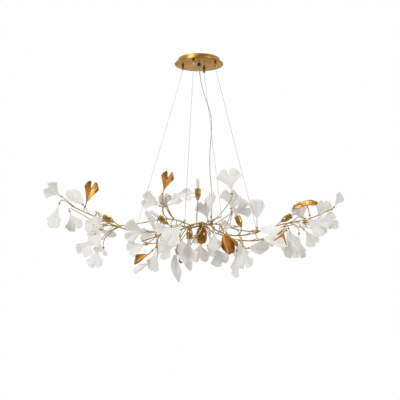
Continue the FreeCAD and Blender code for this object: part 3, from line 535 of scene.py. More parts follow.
leafValues = {
    "fanAngle": math.radians(78), "stalkWidth": 0.005, "columns": 81, "rows": 23, "ribs": 8,
    "cleftPower": 2.2, "lobePower": 7, "taperShare": 0.4, "rimRowShare": 0.008, "rimColumnShare": 0.012,
    "stalkRoundness": 0.85, "probeShare": 0.002, "numberStep": 0.37,
    "lobes": {"Scale": 5.5, "Detail": 1}, "lobeRange": {"From Min": 0.4, "From Max": 0.75},
    "sways": {"Scale": 1.4, "Detail": 0},
    "swayRange": {"From Min": 0.25, "From Max": 0.75, "To Min": -1, "To Max": 1},
    "white": {"Stalk thickness": 0.005, "Edge thickness": 0.0024, "Rib depth": 0.0003,
              "Lobe depth": 0.0018, "Sway": 0.003},
    "gold": {"Stalk thickness": 0.005, "Edge thickness": 0.0024, "Rib depth": 0.0004,
             "Lobe depth": 0.004, "Sway": 0.003},
}

# White leaves by arm: across and down in the photograph, share of half the depth, lean, nod and turn in
# degrees, mould and size share
whiteLeaves = {
    "left_main": (
        (61.5, 196.5, 0.1, -54, 30, 0, "medium", 1.04),
        (59.5, 203, 0.05, -165, 8, 44, "open", 1.15),
        (83, 204.5, 0.2, -44, 5, 42, "oval", 1.1),
        (100, 237, -0.06, -28, 6, 25, "medium", 1.1),
        (96, 215, -0.35, -165, 15, 50, "medium", 0.95),
        (103, 229, -0.45, -155, 5, 30, "medium", 1.0),
        (101, 230, 0.3, 112, 5, 50, "oval", 0.85),
        (93, 238, -0.1, -150, 15, 5, "medium", 1.05),
        (98, 246, -0.25, -174, 18, 30, "open", 0.95),
        (148, 231, -0.28, -90, 30, 0, "open", 1.06),
    ),
    "left_front": (
        (147, 243, -0.38, -118, 10, 26, "medium", 1.05),
        (154, 261, -0.4, -114, 5, 72, "open", 0.95),
        (157, 247, -0.72, -168, 0, 54, "open", 1.0),
        (156, 235, -0.5, -17, 0, 76, "open", 1.1),
        (184, 222, -0.75, -138, 0, 30, "open", 1.15),
        (176, 240, -0.35, -130, 5, 30, "open", 1.0),
        (172, 226, -0.15, -112, 5, 20, "medium", 0.95),
        (176.5, 251, -0.2, -178, 0, 66, "oval", 1.5),
    ),
    "left_rear": (
        (69.5, 210.5, 0.25, 159, 10, 18, "open", 0.96),
        (104, 224, 0.5, -130, 30, 20, "small", 0.95),
        (104, 247, 0.3, 170, 0, 50, "small", 0.6),
        (161, 203, 0.34, -78, 5, 5, "medium", 1.06),
        (163, 212, 0.58, 0, 15, 43, "medium", 1.05),
        (166, 206, 0.48, 68, 5, -50, "medium", 1.0),
        (169, 196, 0.2, 84, 0, -58, "open", 1.16),
        (156, 234, 0.9, -98, 5, 15, "medium", 0.92),
        (170, 232, 0.6, -165, 5, 20, "medium", 1.0),
        (180, 236, 0.75, 165, 5, 20, "medium", 1.0),
        (160, 206, 0.86, -60, 5, 20, "small", 1.0),
        (95, 222, 0.95, 173, 10, 20, "medium", 0.95),
        (98, 238, 0.6, 175, 5, 30, "small", 1.0),
    ),
    "front_middle": (
        (188.5, 253, -0.1, 180, 0, 58, "oval", 0.88),
        (188, 238, -0.5, 180, 12, 30, "open", 1.05),
    ),
    "rear_middle": (
        (200, 226, 0.45, 180, 10, 35, "medium", 1.0),
        (200, 240, 0.22, 180, 20, 10, "open", 1.0),
        (208, 221, 0.33, -12, 0, -30, "medium", 1.1),
        (213, 232, 0.7, 170, 5, 20, "medium", 1.0),
        (210, 250, 0.4, -140, 10, 40, "small", 0.9),
    ),
    "right_main": (
        (232, 194, -0.3, -9, 5, 5, "open", 1.12),
        (231, 209, -0.05, -4, 15, -20, "medium", 1.05),
        (211, 217, -0.05, -3, 0, -68, "open", 1.12),
        (257, 228, -0.15, -1, 0, 26, "long", 1.07),
        (257, 230, -0.28, 92, 0, -50, "oval", 1.34),
        (298.5, 233, -0.2, -178, 0, 62, "open", 1.08),
        (303, 229, 0.1, 137, 5, 46, "medium", 1.05),
        (320, 219, -0.15, 8, 10, 25, "medium", 1.0),
        (304, 218, -0.35, 120, 10, 0, "open", 1.08),
        (317, 220, -0.1, 92, 24, 0, "medium", 1.0),
        (333.5, 207.5, 0.16, 33, 0, 45, "small", 1.1),
        (241, 239, 0.1, 180, 10, 30, "small", 0.95),
    ),
    "right_front": (
        (210, 233, -0.1, 178, 0, 73, "open", 1.03),
        (214, 229, -0.52, 172, 0, 58, "medium", 1.05),
        (262, 239, -0.76, 96, 0, -44, "oval", 1.22),
        (248, 248, -0.65, 88, 0, 28, "oval", 1.0),
        (243, 246, -0.7, 178, 12, 28, "open", 0.92),
        (236.8, 250, -0.45, -172, 0, 74, "open", 1.15),
        (286.3, 230, -0.62, 172, 0, 64, "open", 1.2),
    ),
    "right_rear": (
        (214, 246, 0.15, 153, 15, 10, "medium", 1.15),
        (231, 214, 0.2, 66, 10, -15, "open", 0.95),
        (235, 226, 0.3, -88, 0, 30, "small", 1.0),
        (304, 222, 0.25, -25, 10, 12, "medium", 1.12),
        (312, 228, 0.38, -85, 0, 63, "medium", 1.1),
        (314, 223, 0.35, 140, 0, 40, "small", 1.05),
        (326, 222, 0.25, 110, 25, 40, "small", 0.85),
        (232, 212, 0.65, 10, 5, 20, "medium", 1.0),
        (240, 240, 0.6, 175, 5, 20, "medium", 1.0),
        (262, 240, 0.74, 98, 5, 20, "small", 0.95),
        (288, 228, 0.6, 165, 5, 30, "medium", 1.0),
        (318, 219, 0.78, 15, 5, 20, "medium", 0.95),
    ),
}
goldLeaves = {
    "left_main": (
        (85, 207, -0.1, 20, 5, 25, "tulip", 1.08),
    ),
    "left_front": (
        (153, 250, -0.62, -133, 10, 56, "spoon", 0.8),
        (177.5, 253, 0.0, 150, 0, 20, "tulip", 0.45),
    ),
    "left_rear": (
        (162.5, 194, 0.1, 18, 15, 0, "tulip", 0.97),
        (157, 243, 0.7, -92, 5, 72, "tulip", 0.62),
    ),
    "right_main": (
        (309.5, 215.5, -0.18, -10, 0, 0, "crescent", 1.0),
    ),
    "right_front": (
        (221, 226, -0.6, 158, 0, 10, "spoon", 1.04),
        (284, 231, -0.82, -160, 0, 0, "forked", 1.0),
    ),
    "right_rear": (
        (226, 232, 0.8, 150, 5, 20, "tulip", 0.8),
    ),
}

# The blade's middle surface, worked out line by line: name, operation and what it takes. Row runs from the
# stalk to the margin, column from edge to edge
bladeRule = (
    ("openShare", "DIVIDE", ("SUBTRACT", "row", "stalkShare"), ("SUBTRACT", 1, "stalkShare")),
    ("flare", "POWER", ("MAXIMUM", "openShare", 0), "flarePower"),
    ("half", "MULTIPLY_ADD", "widen", "flare", leafValues["stalkWidth"] / 2),
    ("angle", "MULTIPLY", "column", leafValues["fanAngle"]),
    ("across", "DIVIDE", ("MULTIPLY", "half", ("SINE", "angle")), math.sin(leafValues["fanAngle"])),
    ("drop", "MULTIPLY", ("MULTIPLY", "cornerDrop", "flare"), ("SUBTRACT", 1, ("COSINE", "angle"))),
    ("cleftAway", "DIVIDE", "column", "cleftShare"),
    ("cleftBell", "EXPONENT", ("MULTIPLY", ("MULTIPLY", "cleftAway", "cleftAway"), -1)),
    ("cleftDeep", "MULTIPLY", "cleft", ("POWER", "row", leafValues["cleftPower"])),
    ("shorter", "SUBTRACT", ("MULTIPLY", "length", "row"), "drop"),
    ("notched", "SUBTRACT", "shorter", ("MULTIPLY", "cleftDeep", "cleftBell")),
    ("lobeDeep", "MULTIPLY", "lobeDepth", ("POWER", "row", leafValues["lobePower"])),
    ("rise", "SUBTRACT", "notched", ("MULTIPLY", "lobeDeep", "lobeNoise")),
    ("cupped", "MULTIPLY", ("MULTIPLY", "cup", "flare"), ("MULTIPLY", "column", "column")),
    ("waveAngle", "MULTIPLY", ("MULTIPLY", "waves", "column"), math.pi),
    ("ruffleFlare", "MULTIPLY", "ruffle", ("MULTIPLY", "flare", "flare")),
    ("ruffled", "MULTIPLY", "ruffleFlare", ("SINE", "waveAngle")),
    ("curled", "MULTIPLY", "curl", ("MULTIPLY", "row", "row")),
    ("wavy", "ADD", ("SUBTRACT", "curled", "cupped"), "ruffled"),
    ("outward", "MULTIPLY_ADD", ("MULTIPLY", "sway", "flare"), "swayNoise", "wavy"),
)
# The blade's thickness at a place: a thin rim, ribs, and a stalk that is nearly round
sectionRule = (
    ("sideSquare", "MULTIPLY", "side", "side"),
    ("rowIn", "MULTIPLY", "row", ("MULTIPLY_ADD", "sideSquare", -leafValues["rimRowShare"], 1)),
    ("columnIn", "MULTIPLY", "column", ("MULTIPLY_ADD", "sideSquare", -leafValues["rimColumnShare"], 1)),
    ("rowOn", "ADD", "rowIn", leafValues["probeShare"]),
    ("columnOn", "ADD", "columnIn", leafValues["probeShare"]),
    ("tapered", "MINIMUM", ("DIVIDE", "row", leafValues["taperShare"]), 1),
    ("thickness", "MULTIPLY_ADD", ("SUBTRACT", "edge", "stalk"), "tapered", "stalk"),
    ("roundness", "MULTIPLY", ("SUBTRACT", 1, "tapered"), ("MULTIPLY", "column", "column")),
    ("section", "SQRT", ("SUBTRACT", 1, ("MULTIPLY", "roundness", leafValues["stalkRoundness"]))),
    ("halfThick", "MULTIPLY", ("MULTIPLY", "thickness", "section"), 0.5),
    ("ribSwell", "ABSOLUTE", ("SINE", ("MULTIPLY", "column", leafValues["ribs"] * math.pi))),
    ("away", "MULTIPLY_ADD", "ribSwell", ("MULTIPLY", "ribDepth", "tapered"), "halfThick"),
    ("shift", "MULTIPLY", "away", "side"),
)
leafNumbers = ("widen", *(key for key in leafSizes if key != "width"), *leafShares, "leafNumber")


def runRule(tree, known, rule):
    # adds a rule's lines as math nodes; a line may hold others in brackets
    def worked(operation, values):
        found = [worked(value[0], value[1:]) if isinstance(value, tuple) else known.get(value, value)
                 for value in values]
        return addNode(tree, "ShaderNodeMath", dict(enumerate(found)), operation=operation)

    for name, operation, *values in rule:
        known[name] = worked(operation, values)


def readNumbers(tree, names):
    return {name: addNode(tree, "GeometryNodeInputNamedAttribute", {"Name": name}, data_type="FLOAT")
            for name in names}


def bladeGroup():
    tree, given = startTree("bladePlace", {
        "Row": "Float", "Column": "Float", "Lobe depth": "Float", "Sway": "Float"}, (("Place", "Vector"),))
    known = {"row": given["Row"], "column": given["Column"], "lobeDepth": given["Lobe depth"],
             "sway": given["Sway"], **readNumbers(tree, leafNumbers)}
    spot = addNode(tree, "ShaderNodeCombineXYZ", {
        0: known["column"], 1: known["row"], 2: known["leafNumber"]})
    lobes = addNode(tree, "ShaderNodeTexNoise", {"Vector": spot, **leafValues["lobes"]})
    sways = addNode(tree, "ShaderNodeTexNoise", {"Vector": spot, **leafValues["sways"]})
    known["lobeNoise"] = addNode(tree, "ShaderNodeMapRange", {"Value": lobes, **leafValues["lobeRange"]})
    known["swayNoise"] = addNode(tree, "ShaderNodeMapRange", {"Value": sways, **leafValues["swayRange"]})
    runRule(tree, known, bladeRule)
    made = addNode(tree, "ShaderNodeCombineXYZ", {0: known["across"], 1: known["outward"], 2: known["rise"]})
    addNode(tree, "NodeGroupOutput", {0: made})
    return tree


def leafTree():
    # a sheet of rows and columns, bent to the blade's rule, with ribs, a rounded rim and a thicker stalk
    tree, given = startTree("leafBlade", {
        "Geometry": "Geometry", "Stalk thickness": "Float", "Edge thickness": "Float", "Rib depth": "Float",
        "Lobe depth": "Float", "Sway": "Float", "Material": "Material"})
    sheet = addNode(tree, "GeometryNodeMeshCube", {
        "Size": (2, 2, 2), "Vertices X": leafValues["columns"], "Vertices Y": 3,
        "Vertices Z": leafValues["rows"]})
    corner = addNode(tree, "ShaderNodeSeparateXYZ", {0: addNode(tree, "GeometryNodeInputPosition")}).outputs
    rowShare = addNode(tree, "ShaderNodeMath", {0: corner[2], 1: 0.5, 2: 0.5}, operation="MULTIPLY_ADD")
    for key, value in (("column", corner[0]), ("side", corner[1]), ("row", rowShare)):
        sheet = addNode(tree, "GeometryNodeStoreNamedAttribute", {0: sheet, "Name": key, "Value": value},
                        data_type="FLOAT", domain="POINT")
    spread = addNode(tree, "GeometryNodeInstanceOnPoints", {"Points": given["Geometry"], "Instance": sheet})
    blades = addNode(tree, "GeometryNodeRealizeInstances", {0: spread})
    known = {"stalk": given["Stalk thickness"], "edge": given["Edge thickness"],
             "ribDepth": given["Rib depth"], **readNumbers(tree, ("column", "side", "row"))}
    runRule(tree, known, sectionRule)
    place = bladeGroup()
    here, up, along = (
        addNode(tree, "GeometryNodeGroup", {
            "Row": known[row], "Column": known[column], "Lobe depth": given["Lobe depth"],
            "Sway": given["Sway"]}, node_tree=place)
        for row, column in (("rowIn", "columnIn"), ("rowOn", "columnIn"), ("rowIn", "columnOn")))
    rowStep = addNode(tree, "ShaderNodeVectorMath", {0: up, 1: here}, operation="SUBTRACT")
    columnStep = addNode(tree, "ShaderNodeVectorMath", {0: along, 1: here}, operation="SUBTRACT")
    cross = addNode(tree, "ShaderNodeVectorMath", {0: rowStep, 1: columnStep}, operation="CROSS_PRODUCT")
    normal = addNode(tree, "ShaderNodeVectorMath", {0: cross}, operation="NORMALIZE")
    offset = addNode(tree, "ShaderNodeVectorMath", {0: normal, "Scale": known["shift"]}, operation="SCALE")
    local = addNode(tree, "ShaderNodeVectorMath", {0: here, 1: offset}, operation="ADD")
    turn = addNode(tree, "GeometryNodeInputNamedAttribute", {"Name": "turn"}, data_type="QUATERNION")
    seat = addNode(tree, "GeometryNodeInputNamedAttribute", {"Name": "seat"}, data_type="FLOAT_VECTOR")
    turned = addNode(tree, "FunctionNodeRotateVector", {"Vector": local, "Rotation": turn})
    final = addNode(tree, "ShaderNodeVectorMath", {0: turned, 1: seat}, operation="ADD")
    shaped = addNode(tree, "GeometryNodeSetPosition", {0: blades, "Position": final})
    columnShare = addNode(tree, "ShaderNodeMath", {0: known["column"], 1: 0.5, 2: 0.5},
                          operation="MULTIPLY_ADD")
    flat = addNode(tree, "ShaderNodeCombineXYZ", {0: columnShare, 1: known["row"]})
    mapped = addNode(tree, "GeometryNodeStoreNamedAttribute", {0: shaped, "Name": "bladeMap", "Value": flat},
                     data_type="FLOAT2", domain="CORNER")
    return endTree(tree, mapped, given["Material"])


def leafRows(table):
    rows = []
    for across, below, depthShare, lean, nod, turn, mould, sizeShare in table:
        row = dict(zip((*leafSizes, *leafShares), leafMoulds[mould]))
        for key in leafSizes:
            row[key] *= sizeShare
        row["widen"] = (row.pop("width") - leafValues["stalkWidth"]) / 2
        row["cornerDrop"] /= 1 - math.cos(leafValues["fanAngle"])
        row["leafNumber"] = across + leafValues["numberStep"] * below
        row["seat"] = placeSeen(across, below, depthShare)
        row["turn"] = turnOf(lean, nod, turn).to_quaternion()
        rows.append(row)
    return rows


def growLeaves(name, table, kind, material, node, slot):
    rows = leafRows(table)
    piece = grow(name, seats(name, rows), blades, {**leafValues[kind], "Material": material},
                 (*rows[0], "row", "column", "side"))
    fitted(piece, slot, node)


blades = leafTree()
for armName, table in whiteLeaves.items():
    growLeaves("whiteLeaves." + armName, table, "white", bisqueLeaf, "white_leaves_" + armName,
               "leaf_ceramic")
for side in ("left", "right"):
    table = [row for armName, rows in goldLeaves.items() if armName.startswith(side) for row in rows]
    growLeaves("goldLeaves." + side, table, "gold", gildedLeaf, "gold_leaves_" + side, "leaf_gold")
print("leaves grown")

# Branches. A rod is thinner at its end, and swells where it forks off
branchValues = {
    "armRadius": 0.0036, "armThins": 0.28, "twigRadius": 0.0019, "stemRadius": 0.0025, "neckRadius": 0.015,
    "socketDepth": 0.006, "levelStep": 0.007, "firstRun": 0.03, "forkLead": 0.03, "twigLead": 0.024,
    "stemLead": 0.014, "capFloor": 0.003, "ringStep": 0.004, "sides": 14, "forkSwells": (1.55, 1.1, 1, 1),
    "runSteps": 24, "hubward": 0.0001,
}

# Arms: angle about Z and level at the hub, then corners as across, down and share of half the depth
armRoutes = {
    "left_main": (180, 1, ((184, 228, -0.02), (172, 234, -0.08), (152, 232, -0.1), (132, 231, 0.02),
                           (116, 226, 0.16), (99, 218, 0.18), (84, 212, 0.12), (72, 206, 0.1))),
    "left_front": (230, -1, ((193, 228, -0.18), (177, 225, -0.38), (167, 231, -0.52), (155, 237, -0.62),
                             (143, 241, -0.66))),
    "left_rear": (135, -1, ((190, 225, 0.25), (176, 219, 0.42), (160, 219, 0.55), (142, 223, 0.64),
                            (122, 226, 0.7), (103, 225, 0.72), (93, 222, 0.7))),
    "right_main": (2, 1, ((216, 231, -0.03), (232, 236, -0.08), (247, 235, -0.12), (263, 230, -0.1),
                          (278, 225, -0.06), (294, 222, -0.02), (308, 219, 0.04), (321, 214, 0.08),
                          (331, 209, 0.1))),
    "right_front": (325, -1, ((210, 231, -0.22), (222, 235, -0.42), (234, 239, -0.55), (247, 241, -0.62),
                              (262, 240, -0.6), (276, 236, -0.52), (285, 230, -0.46))),
    "right_rear": (50, -1, ((208, 224, 0.2), (219, 224, 0.38), (231, 228, 0.5), (248, 232, 0.62),
                            (268, 230, 0.68), (290, 225, 0.68), (306, 222, 0.62))),
    "front_middle": (285, 1, ((201, 231, -0.24), (197, 236, -0.42), (193, 238, -0.55))),
    "rear_middle": (95, 1, ((204, 225, 0.28), (209, 221, 0.48), (220, 217, 0.6))),
}

# Lamp cups: arm, across, down, share of half the depth, lean and nod in degrees
lampPlaces = (
    ("left_main", 114, 222, 0.04, -61, 0),
    ("left_rear", 197.8, 200, 0.12, 0, 0),
    ("right_main", 281, 221.5, -0.02, 58, 0),
    ("left_main", 168, 224, 0.05, -53, 0),
    ("left_front", 189.5, 227, -0.3, 180, 0),
    ("right_main", 241, 227, -0.26, -20, 0),
    ("left_rear", 165, 234, 0.8, 180, 0),
    ("right_rear", 312, 228, 0.6, 72, 0),
)


def armPoints(armName):
    angle, level, corners = armRoutes[armName]
    middle = placeSeen(sprayValues["hubPixel"], sprayValues["levelPixel"], 0)
    middle.z += level * branchValues["levelStep"]
    outward = Vector((math.cos(math.radians(angle)), math.sin(math.radians(angle)), 0))
    start = middle + outward * (branchValues["neckRadius"] - branchValues["socketDepth"])
    return [start, start + outward * branchValues["firstRun"]] + [placeSeen(*corner) for corner in corners]


def smoothLine(points):
    # the line that an order 3 spline draws through the middles of its runs
    middles = [(a + b) / 2 for a, b in zip(points, points[1:])]
    ends = [points[0]] + middles[1:-1] + [points[-1]]
    line = [points[0]]
    for start, corner, end in zip(ends, points[1:-1], ends[1:]):
        for step in range(1, branchValues["runSteps"] + 1):
            share = step / branchValues["runSteps"]
            line.append(start.lerp(corner, share).lerp(corner.lerp(end, share), share))
    return line


def forkPlace(line, target):
    # where a twig leaves the arm: one lead before the arm's nearest place, and the arm's way there; of two
    # places about as near, the one nearer the hub
    far = [(spot - target).length + index * branchValues["hubward"] for index, spot in enumerate(line)]
    index = far.index(min(far))
    left = branchValues["forkLead"]
    least = branchValues["neckRadius"] + branchValues["socketDepth"]
    while index > 1 and left > 0 and (line[index - 1] - line[0]).length > least:
        left -= (line[index] - line[index - 1]).length
        index -= 1
    index = min(index, len(line) - 2)
    ahead = (line[index + 1] - line[index - 1]).normalized()
    return line[index] - ahead * min(left, 0), ahead


def twigSpline(curve, line, end, direction, lead, radius):
    corner = end - direction * lead
    start, ahead = forkPlace(line, corner)
    way = corner - start
    first = start + (ahead + way.normalized()).normalized() * min(lead, way.length / 2)
    routeSpline(curve, [start, first, corner, end], [radius * swell for swell in branchValues["forkSwells"]])


def branchTree():
    tree, given = startTree("branchRods", {
        "Geometry": "Geometry", "Ring step": "Float", "Sides": "Int", "Material": "Material"})
    stepped = addNode(tree, "GeometryNodeResampleCurve", {
        0: given["Geometry"], "Length": given["Ring step"]}, mode="LENGTH")
    section = addNode(tree, "GeometryNodeCurvePrimitiveCircle", {"Resolution": given["Sides"], "Radius": 1})
    radius = addNode(tree, "GeometryNodeInputRadius")
    rods = addNode(tree, "GeometryNodeCurveToMesh", {
        0: stepped, 1: section, "Scale": radius, "Fill Caps": True})
    return endTree(tree, rods, given["Material"])


def branchCurve(armName):
    curve = startCurve("branch." + armName, curveSteps["line"])
    points = armPoints(armName)
    line = smoothLine(points)
    routeSpline(curve, points, [
        branchValues["armRadius"] * (1 - branchValues["armThins"] * index / len(points))
        for index in range(len(points))])
    for row in whiteLeaves.get(armName, ()) + goldLeaves.get(armName, ()):
        direction = turnOf(*row[3:6]) @ Vector((0, 0, 1))
        end = placeSeen(*row[:3]) - direction * branchValues["capFloor"]
        twigSpline(curve, line, end, direction, branchValues["twigLead"], branchValues["twigRadius"])
    for row in lampPlaces:
        if row[0] == armName:
            twigSpline(curve, line, placeSeen(*row[1:4]), turnOf(*row[4:6]) @ Vector((0, 0, 1)),
                       branchValues["stemLead"], branchValues["stemRadius"])
    return curve


rods = branchTree()
for armName in armRoutes:
    branch = grow("branch." + armName, branchCurve(armName), rods, {
        "Ring step": branchValues["ringStep"], "Sides": branchValues["sides"], "Material": tonedBrassRod})
    fitted(branch, "branch_gold", "branch_" + armName)
print("branches bent")

# Turned pieces: outlines of radius and height in metres, and how far the corner is rounded in millimetres
turnedValues = {"millimetre": 0.001, "sharpAngle": math.radians(50), "onAxis": 1e-7}


def shadeTurned(mesh):
    for polygon in mesh.polygons:
        polygon.use_smooth = True
    mesh.set_sharp_from_angle(angle=turnedValues["sharpAngle"])


def turnedMesh(name, corners, segments, hollow=False, steps=2):
    # spins an outline about Z; it starts and ends on the axis, or closes on itself when hollow
    outline = []
    for index, (radius, height, rounding) in enumerate(corners):
        here = Vector((radius, height))
        if not rounding:
            outline.append(here)
            continue
        start, end = (
            here + (Vector(corner[:2]) - here).normalized() * (rounding * turnedValues["millimetre"])
            for corner in (corners[index - 1], corners[(index + 1) % len(corners)]))
        for step in range(steps + 1):
            share = step / steps
            outline.append(start.lerp(here, share).lerp(here.lerp(end, share), share))
    shape = bmesh.new()
    rings = []
    for spot in outline:
        if spot.x < turnedValues["onAxis"]:
            rings.append([shape.verts.new((0, 0, spot.y))] * segments)
            continue
        turns = [2 * math.pi * turn / segments for turn in range(segments)]
        rings.append([shape.verts.new((spot.x * math.cos(turn), spot.x * math.sin(turn), spot.y))
                      for turn in turns])
    for low, high in zip(rings, rings[1:] + (rings[:1] if hollow else [])):
        for turn in range(segments):
            after = (turn + 1) % segments
            corner = list(dict.fromkeys((low[turn], low[after], high[after], high[turn])))
            if len(corner) > 2:
                shape.faces.new(corner)
    bmesh.ops.recalc_face_normals(shape, faces=shape.faces)
    mesh = bpy.data.meshes.new(name)
    shape.to_mesh(mesh)
    shape.free()
    shadeTurned(mesh)
    return mesh


def arcOutline(start, middle, end, steps):
    # points on the arc through three (radius, height) places
    a, b, c = (Vector(place) for place in (start, middle, end))
    twice = 2 * (a.x * (b.y - c.y) + b.x * (c.y - a.y) + c.x * (a.y - b.y))
    centre = Vector((
        (a.dot(a) * (b.y - c.y) + b.dot(b) * (c.y - a.y) + c.dot(c) * (a.y - b.y)) / twice,
        (a.dot(a) * (c.x - b.x) + b.dot(b) * (a.x - c.x) + c.dot(c) * (b.x - a.x)) / twice,
    ))
    first = math.atan2(a.y - centre.y, a.x - centre.x)
    last = math.atan2(c.y - centre.y, c.x - centre.x)
    reach = (a - centre).length
    return [(centre.x + reach * math.cos(first + (last - first) * step / steps),
             centre.y + reach * math.sin(first + (last - first) * step / steps), 0)
            for step in range(steps + 1)]


def setOutTree():
    tree, given = startTree("setOut", {
        "Geometry": "Geometry", "Pattern": "Object", "Material": "Material"})
    pattern = addNode(tree, "GeometryNodeObjectInfo", {"Object": given["Pattern"], "As Instance": True})
    turn = addNode(tree, "GeometryNodeInputNamedAttribute", {"Name": "turn"}, data_type="QUATERNION")
    placed = addNode(tree, "GeometryNodeInstanceOnPoints", {
        "Points": given["Geometry"], "Instance": pattern.outputs["Geometry"], "Rotation": turn})
    return endTree(tree, placed, given["Material"], smooth=False)


setOutGroup = setOutTree()


def setOut(name, mesh, places, material, slot, *nodes, body=mainBody):
    # sets a pattern out at places of (seat, rotation), as one plain mesh
    pattern = linked(bpy.data.objects.new(name + ".pattern", mesh))
    rows = [{"seat": seat, "turn": turn.to_quaternion()} for seat, turn in places]
    piece = grow(name, seats(name, rows), setOutGroup, {"Pattern": pattern, "Material": material},
                 ("seat", "turn"))
    bpy.data.objects.remove(pattern)
    fitted(piece, slot, *nodes, body=body)


capValues = {"radius": 0.005, "backRadius": 0.0034, "floor": 0.003, "depth": 0.006, "bore": 0.0039,
             "taper": 0.0002, "shoulder": 0.0005, "sides": 16}
capPattern = turnedMesh("leafCap", (
    (0, -capValues["floor"], 0),
    (capValues["backRadius"], -capValues["floor"], 0.6),
    (capValues["radius"] - capValues["taper"], capValues["shoulder"], 0.9),
    (capValues["radius"], capValues["depth"], 0.5),
    (capValues["bore"], capValues["depth"], 0.3),
    (capValues["bore"], 0, 0),
    (0, 0, 0),
), capValues["sides"])
capPlaces = [(placeSeen(*row[:3]), turnOf(*row[3:6])) for table in (whiteLeaves, goldLeaves)
             for rows in table.values() for row in rows]
setOut("leafCaps", capPattern, capPlaces, turnedBrass, "cap_brass", "leaf_caps")

budValues = {"radius": 0.0046, "neckShare": 0.84, "tipShare": 0.52, "sides": 20}
budRadius = budValues["radius"]
budPattern = turnedMesh("armBud", (
    (0, -budRadius, 0), (budRadius * budValues["neckShare"], -budRadius, 1), (budRadius, 0, 2),
    (budRadius * budValues["tipShare"], budRadius, 1.2), (0, budRadius, 0),
), budValues["sides"])
armEnds = []
for armName in armRoutes:
    before, last = armPoints(armName)[-2:]
    armEnds.append((last, Vector((0, 0, 1)).rotation_difference(last - before).to_matrix()))
setOut("armBuds", budPattern, armEnds, turnedBrass, "branch_gold")
print("caps set on the twigs")

# Lamp cups, sockets and lamps
cupValues = {"radius": 0.0155, "wall": 0.0015, "length": 0.058, "floor": 0.006, "backRadius": 0.005,
             "flare": 0.022, "groove": 0.0004, "lipHeight": 0.004, "grooveLow": 0.0012, "grooveStep": 0.0004,
             "sides": 40}
cupInside = cupValues["radius"] - cupValues["wall"]
grooveRadius = cupValues["radius"] - cupValues["groove"]
lipLow = cupValues["length"] - cupValues["lipHeight"]
grooveLow = lipLow - cupValues["grooveLow"]
cupPattern = turnedMesh("lampCup", (
    (0, 0, 0), (cupValues["backRadius"], 0, 1.2), (cupValues["radius"], cupValues["flare"], 6),
    (cupValues["radius"], grooveLow, 0.3), (grooveRadius, grooveLow + cupValues["grooveStep"], 0.2),
    (grooveRadius, lipLow, 0.2), (cupValues["radius"], lipLow + cupValues["grooveStep"], 0.3),
    (cupValues["radius"], cupValues["length"], 0.5), (cupInside, cupValues["length"], 0.5),
    (cupInside, cupValues["flare"], 2), (cupValues["backRadius"], cupValues["floor"], 1),
    (0, cupValues["floor"], 0),
), cupValues["sides"], steps=4)
lampSeats = [(placeSeen(*row[1:4]), turnOf(*row[4:6])) for row in lampPlaces]
setOut("lampCups", cupPattern, lampSeats, turnedBrass, "cap_brass", "lamp_cups")

socketValues = {"footRadius": 0.005, "radius": 0.0105, "height": 0.018, "step": 0.0007, "stepHeight": 0.004,
                "sides": 32}
socketTop = cupValues["flare"] + socketValues["height"]
stepLow = socketTop - socketValues["stepHeight"]
stepRadius = socketValues["radius"] - socketValues["step"]
socketPattern = turnedMesh("lampSocket", (
    (0, cupValues["floor"], 0), (socketValues["footRadius"], cupValues["floor"], 0.5),
    (socketValues["footRadius"], cupValues["flare"], 0.5), (socketValues["radius"], cupValues["flare"], 0.8),
    (socketValues["radius"], stepLow, 0.5), (stepRadius, stepLow, 0.2), (stepRadius, socketTop, 0.6),
    (0, socketTop, 0),
), socketValues["sides"])
setOut("lampSockets", socketPattern, lampSeats, firedSteatite, "socket_ceramic", "lamp_sockets")

lampValues = {
    "radius": 0.0085, "length": 0.07, "seat": 0.0403, "collar": 0.012, "collarTaper": 0.0003,
    "collarStep": 0.0012, "glassInset": 0.0008, "glassGap": 0.0001, "domeSteps": 10, "sides": 32,
    "pinRadius": 0.0008, "pinTipShare": 0.6, "pinLength": 0.006, "pinSpacing": 0.009, "pinSides": 10,
}


def lampMesh(name):
    # a glass capsule on its moulded foot, with two pins under it
    radius = lampValues["radius"]
    low = lampValues["seat"]
    top = low + lampValues["length"]
    dome = top - radius
    collarTop = low + lampValues["collar"]
    foot = turnedMesh(name + "Foot", (
        (0, low, 0), (radius - lampValues["collarTaper"], low, 0.8), (radius, collarTop, 0.6),
        (radius - lampValues["collarStep"], collarTop, 0.2), (0, collarTop, 0),
    ), lampValues["sides"])
    glassRadius = radius - lampValues["glassInset"]
    glassLow = collarTop + lampValues["glassGap"]
    eighth = math.pi / 4
    capsule = turnedMesh(name, [(0, glassLow, 0), (glassRadius, glassLow, 0)] + arcOutline(
        (glassRadius, dome), (glassRadius * math.cos(eighth), dome + radius * math.sin(eighth)), (0, top),
        lampValues["domeSteps"]), lampValues["sides"])
    shape = bmesh.new()
    shape.from_mesh(capsule)
    glassFaces = len(shape.faces)
    shape.from_mesh(foot)
    footFaces = len(shape.faces)
    for side in (-1, 1):
        bmesh.ops.create_cone(
            shape, cap_ends=True, segments=lampValues["pinSides"], radius2=lampValues["pinRadius"],
            radius1=lampValues["pinRadius"] * lampValues["pinTipShare"], depth=lampValues["pinLength"],
            matrix=Matrix.Translation((side * lampValues["pinSpacing"] / 2, 0,
                                       low - lampValues["pinLength"] / 2)))
    for index, face in enumerate(shape.faces):
        face.material_index = (index >= glassFaces) + (index >= footFaces)
    made = bpy.data.meshes.new(name)
    shape.to_mesh(made)
    shape.free()
    for material in (lampGlass, firedSteatite, nickelPlate):
        made.materials.append(material)
    return made


for number, (seat, turn) in enumerate(lampSeats, 1):
    mesh = lampMesh("lamp%d" % number)
    mesh.transform(Matrix.Translation(seat) @ turn.to_4x4())
    shadeTurned(mesh)
    lamp = linked(bpy.data.objects.new("lamp%d" % number, mesh))
    fitted(lamp, "lamp_glass", "lamp_%d" % number, body="lamp_%d" % number)
print("lamps seated")

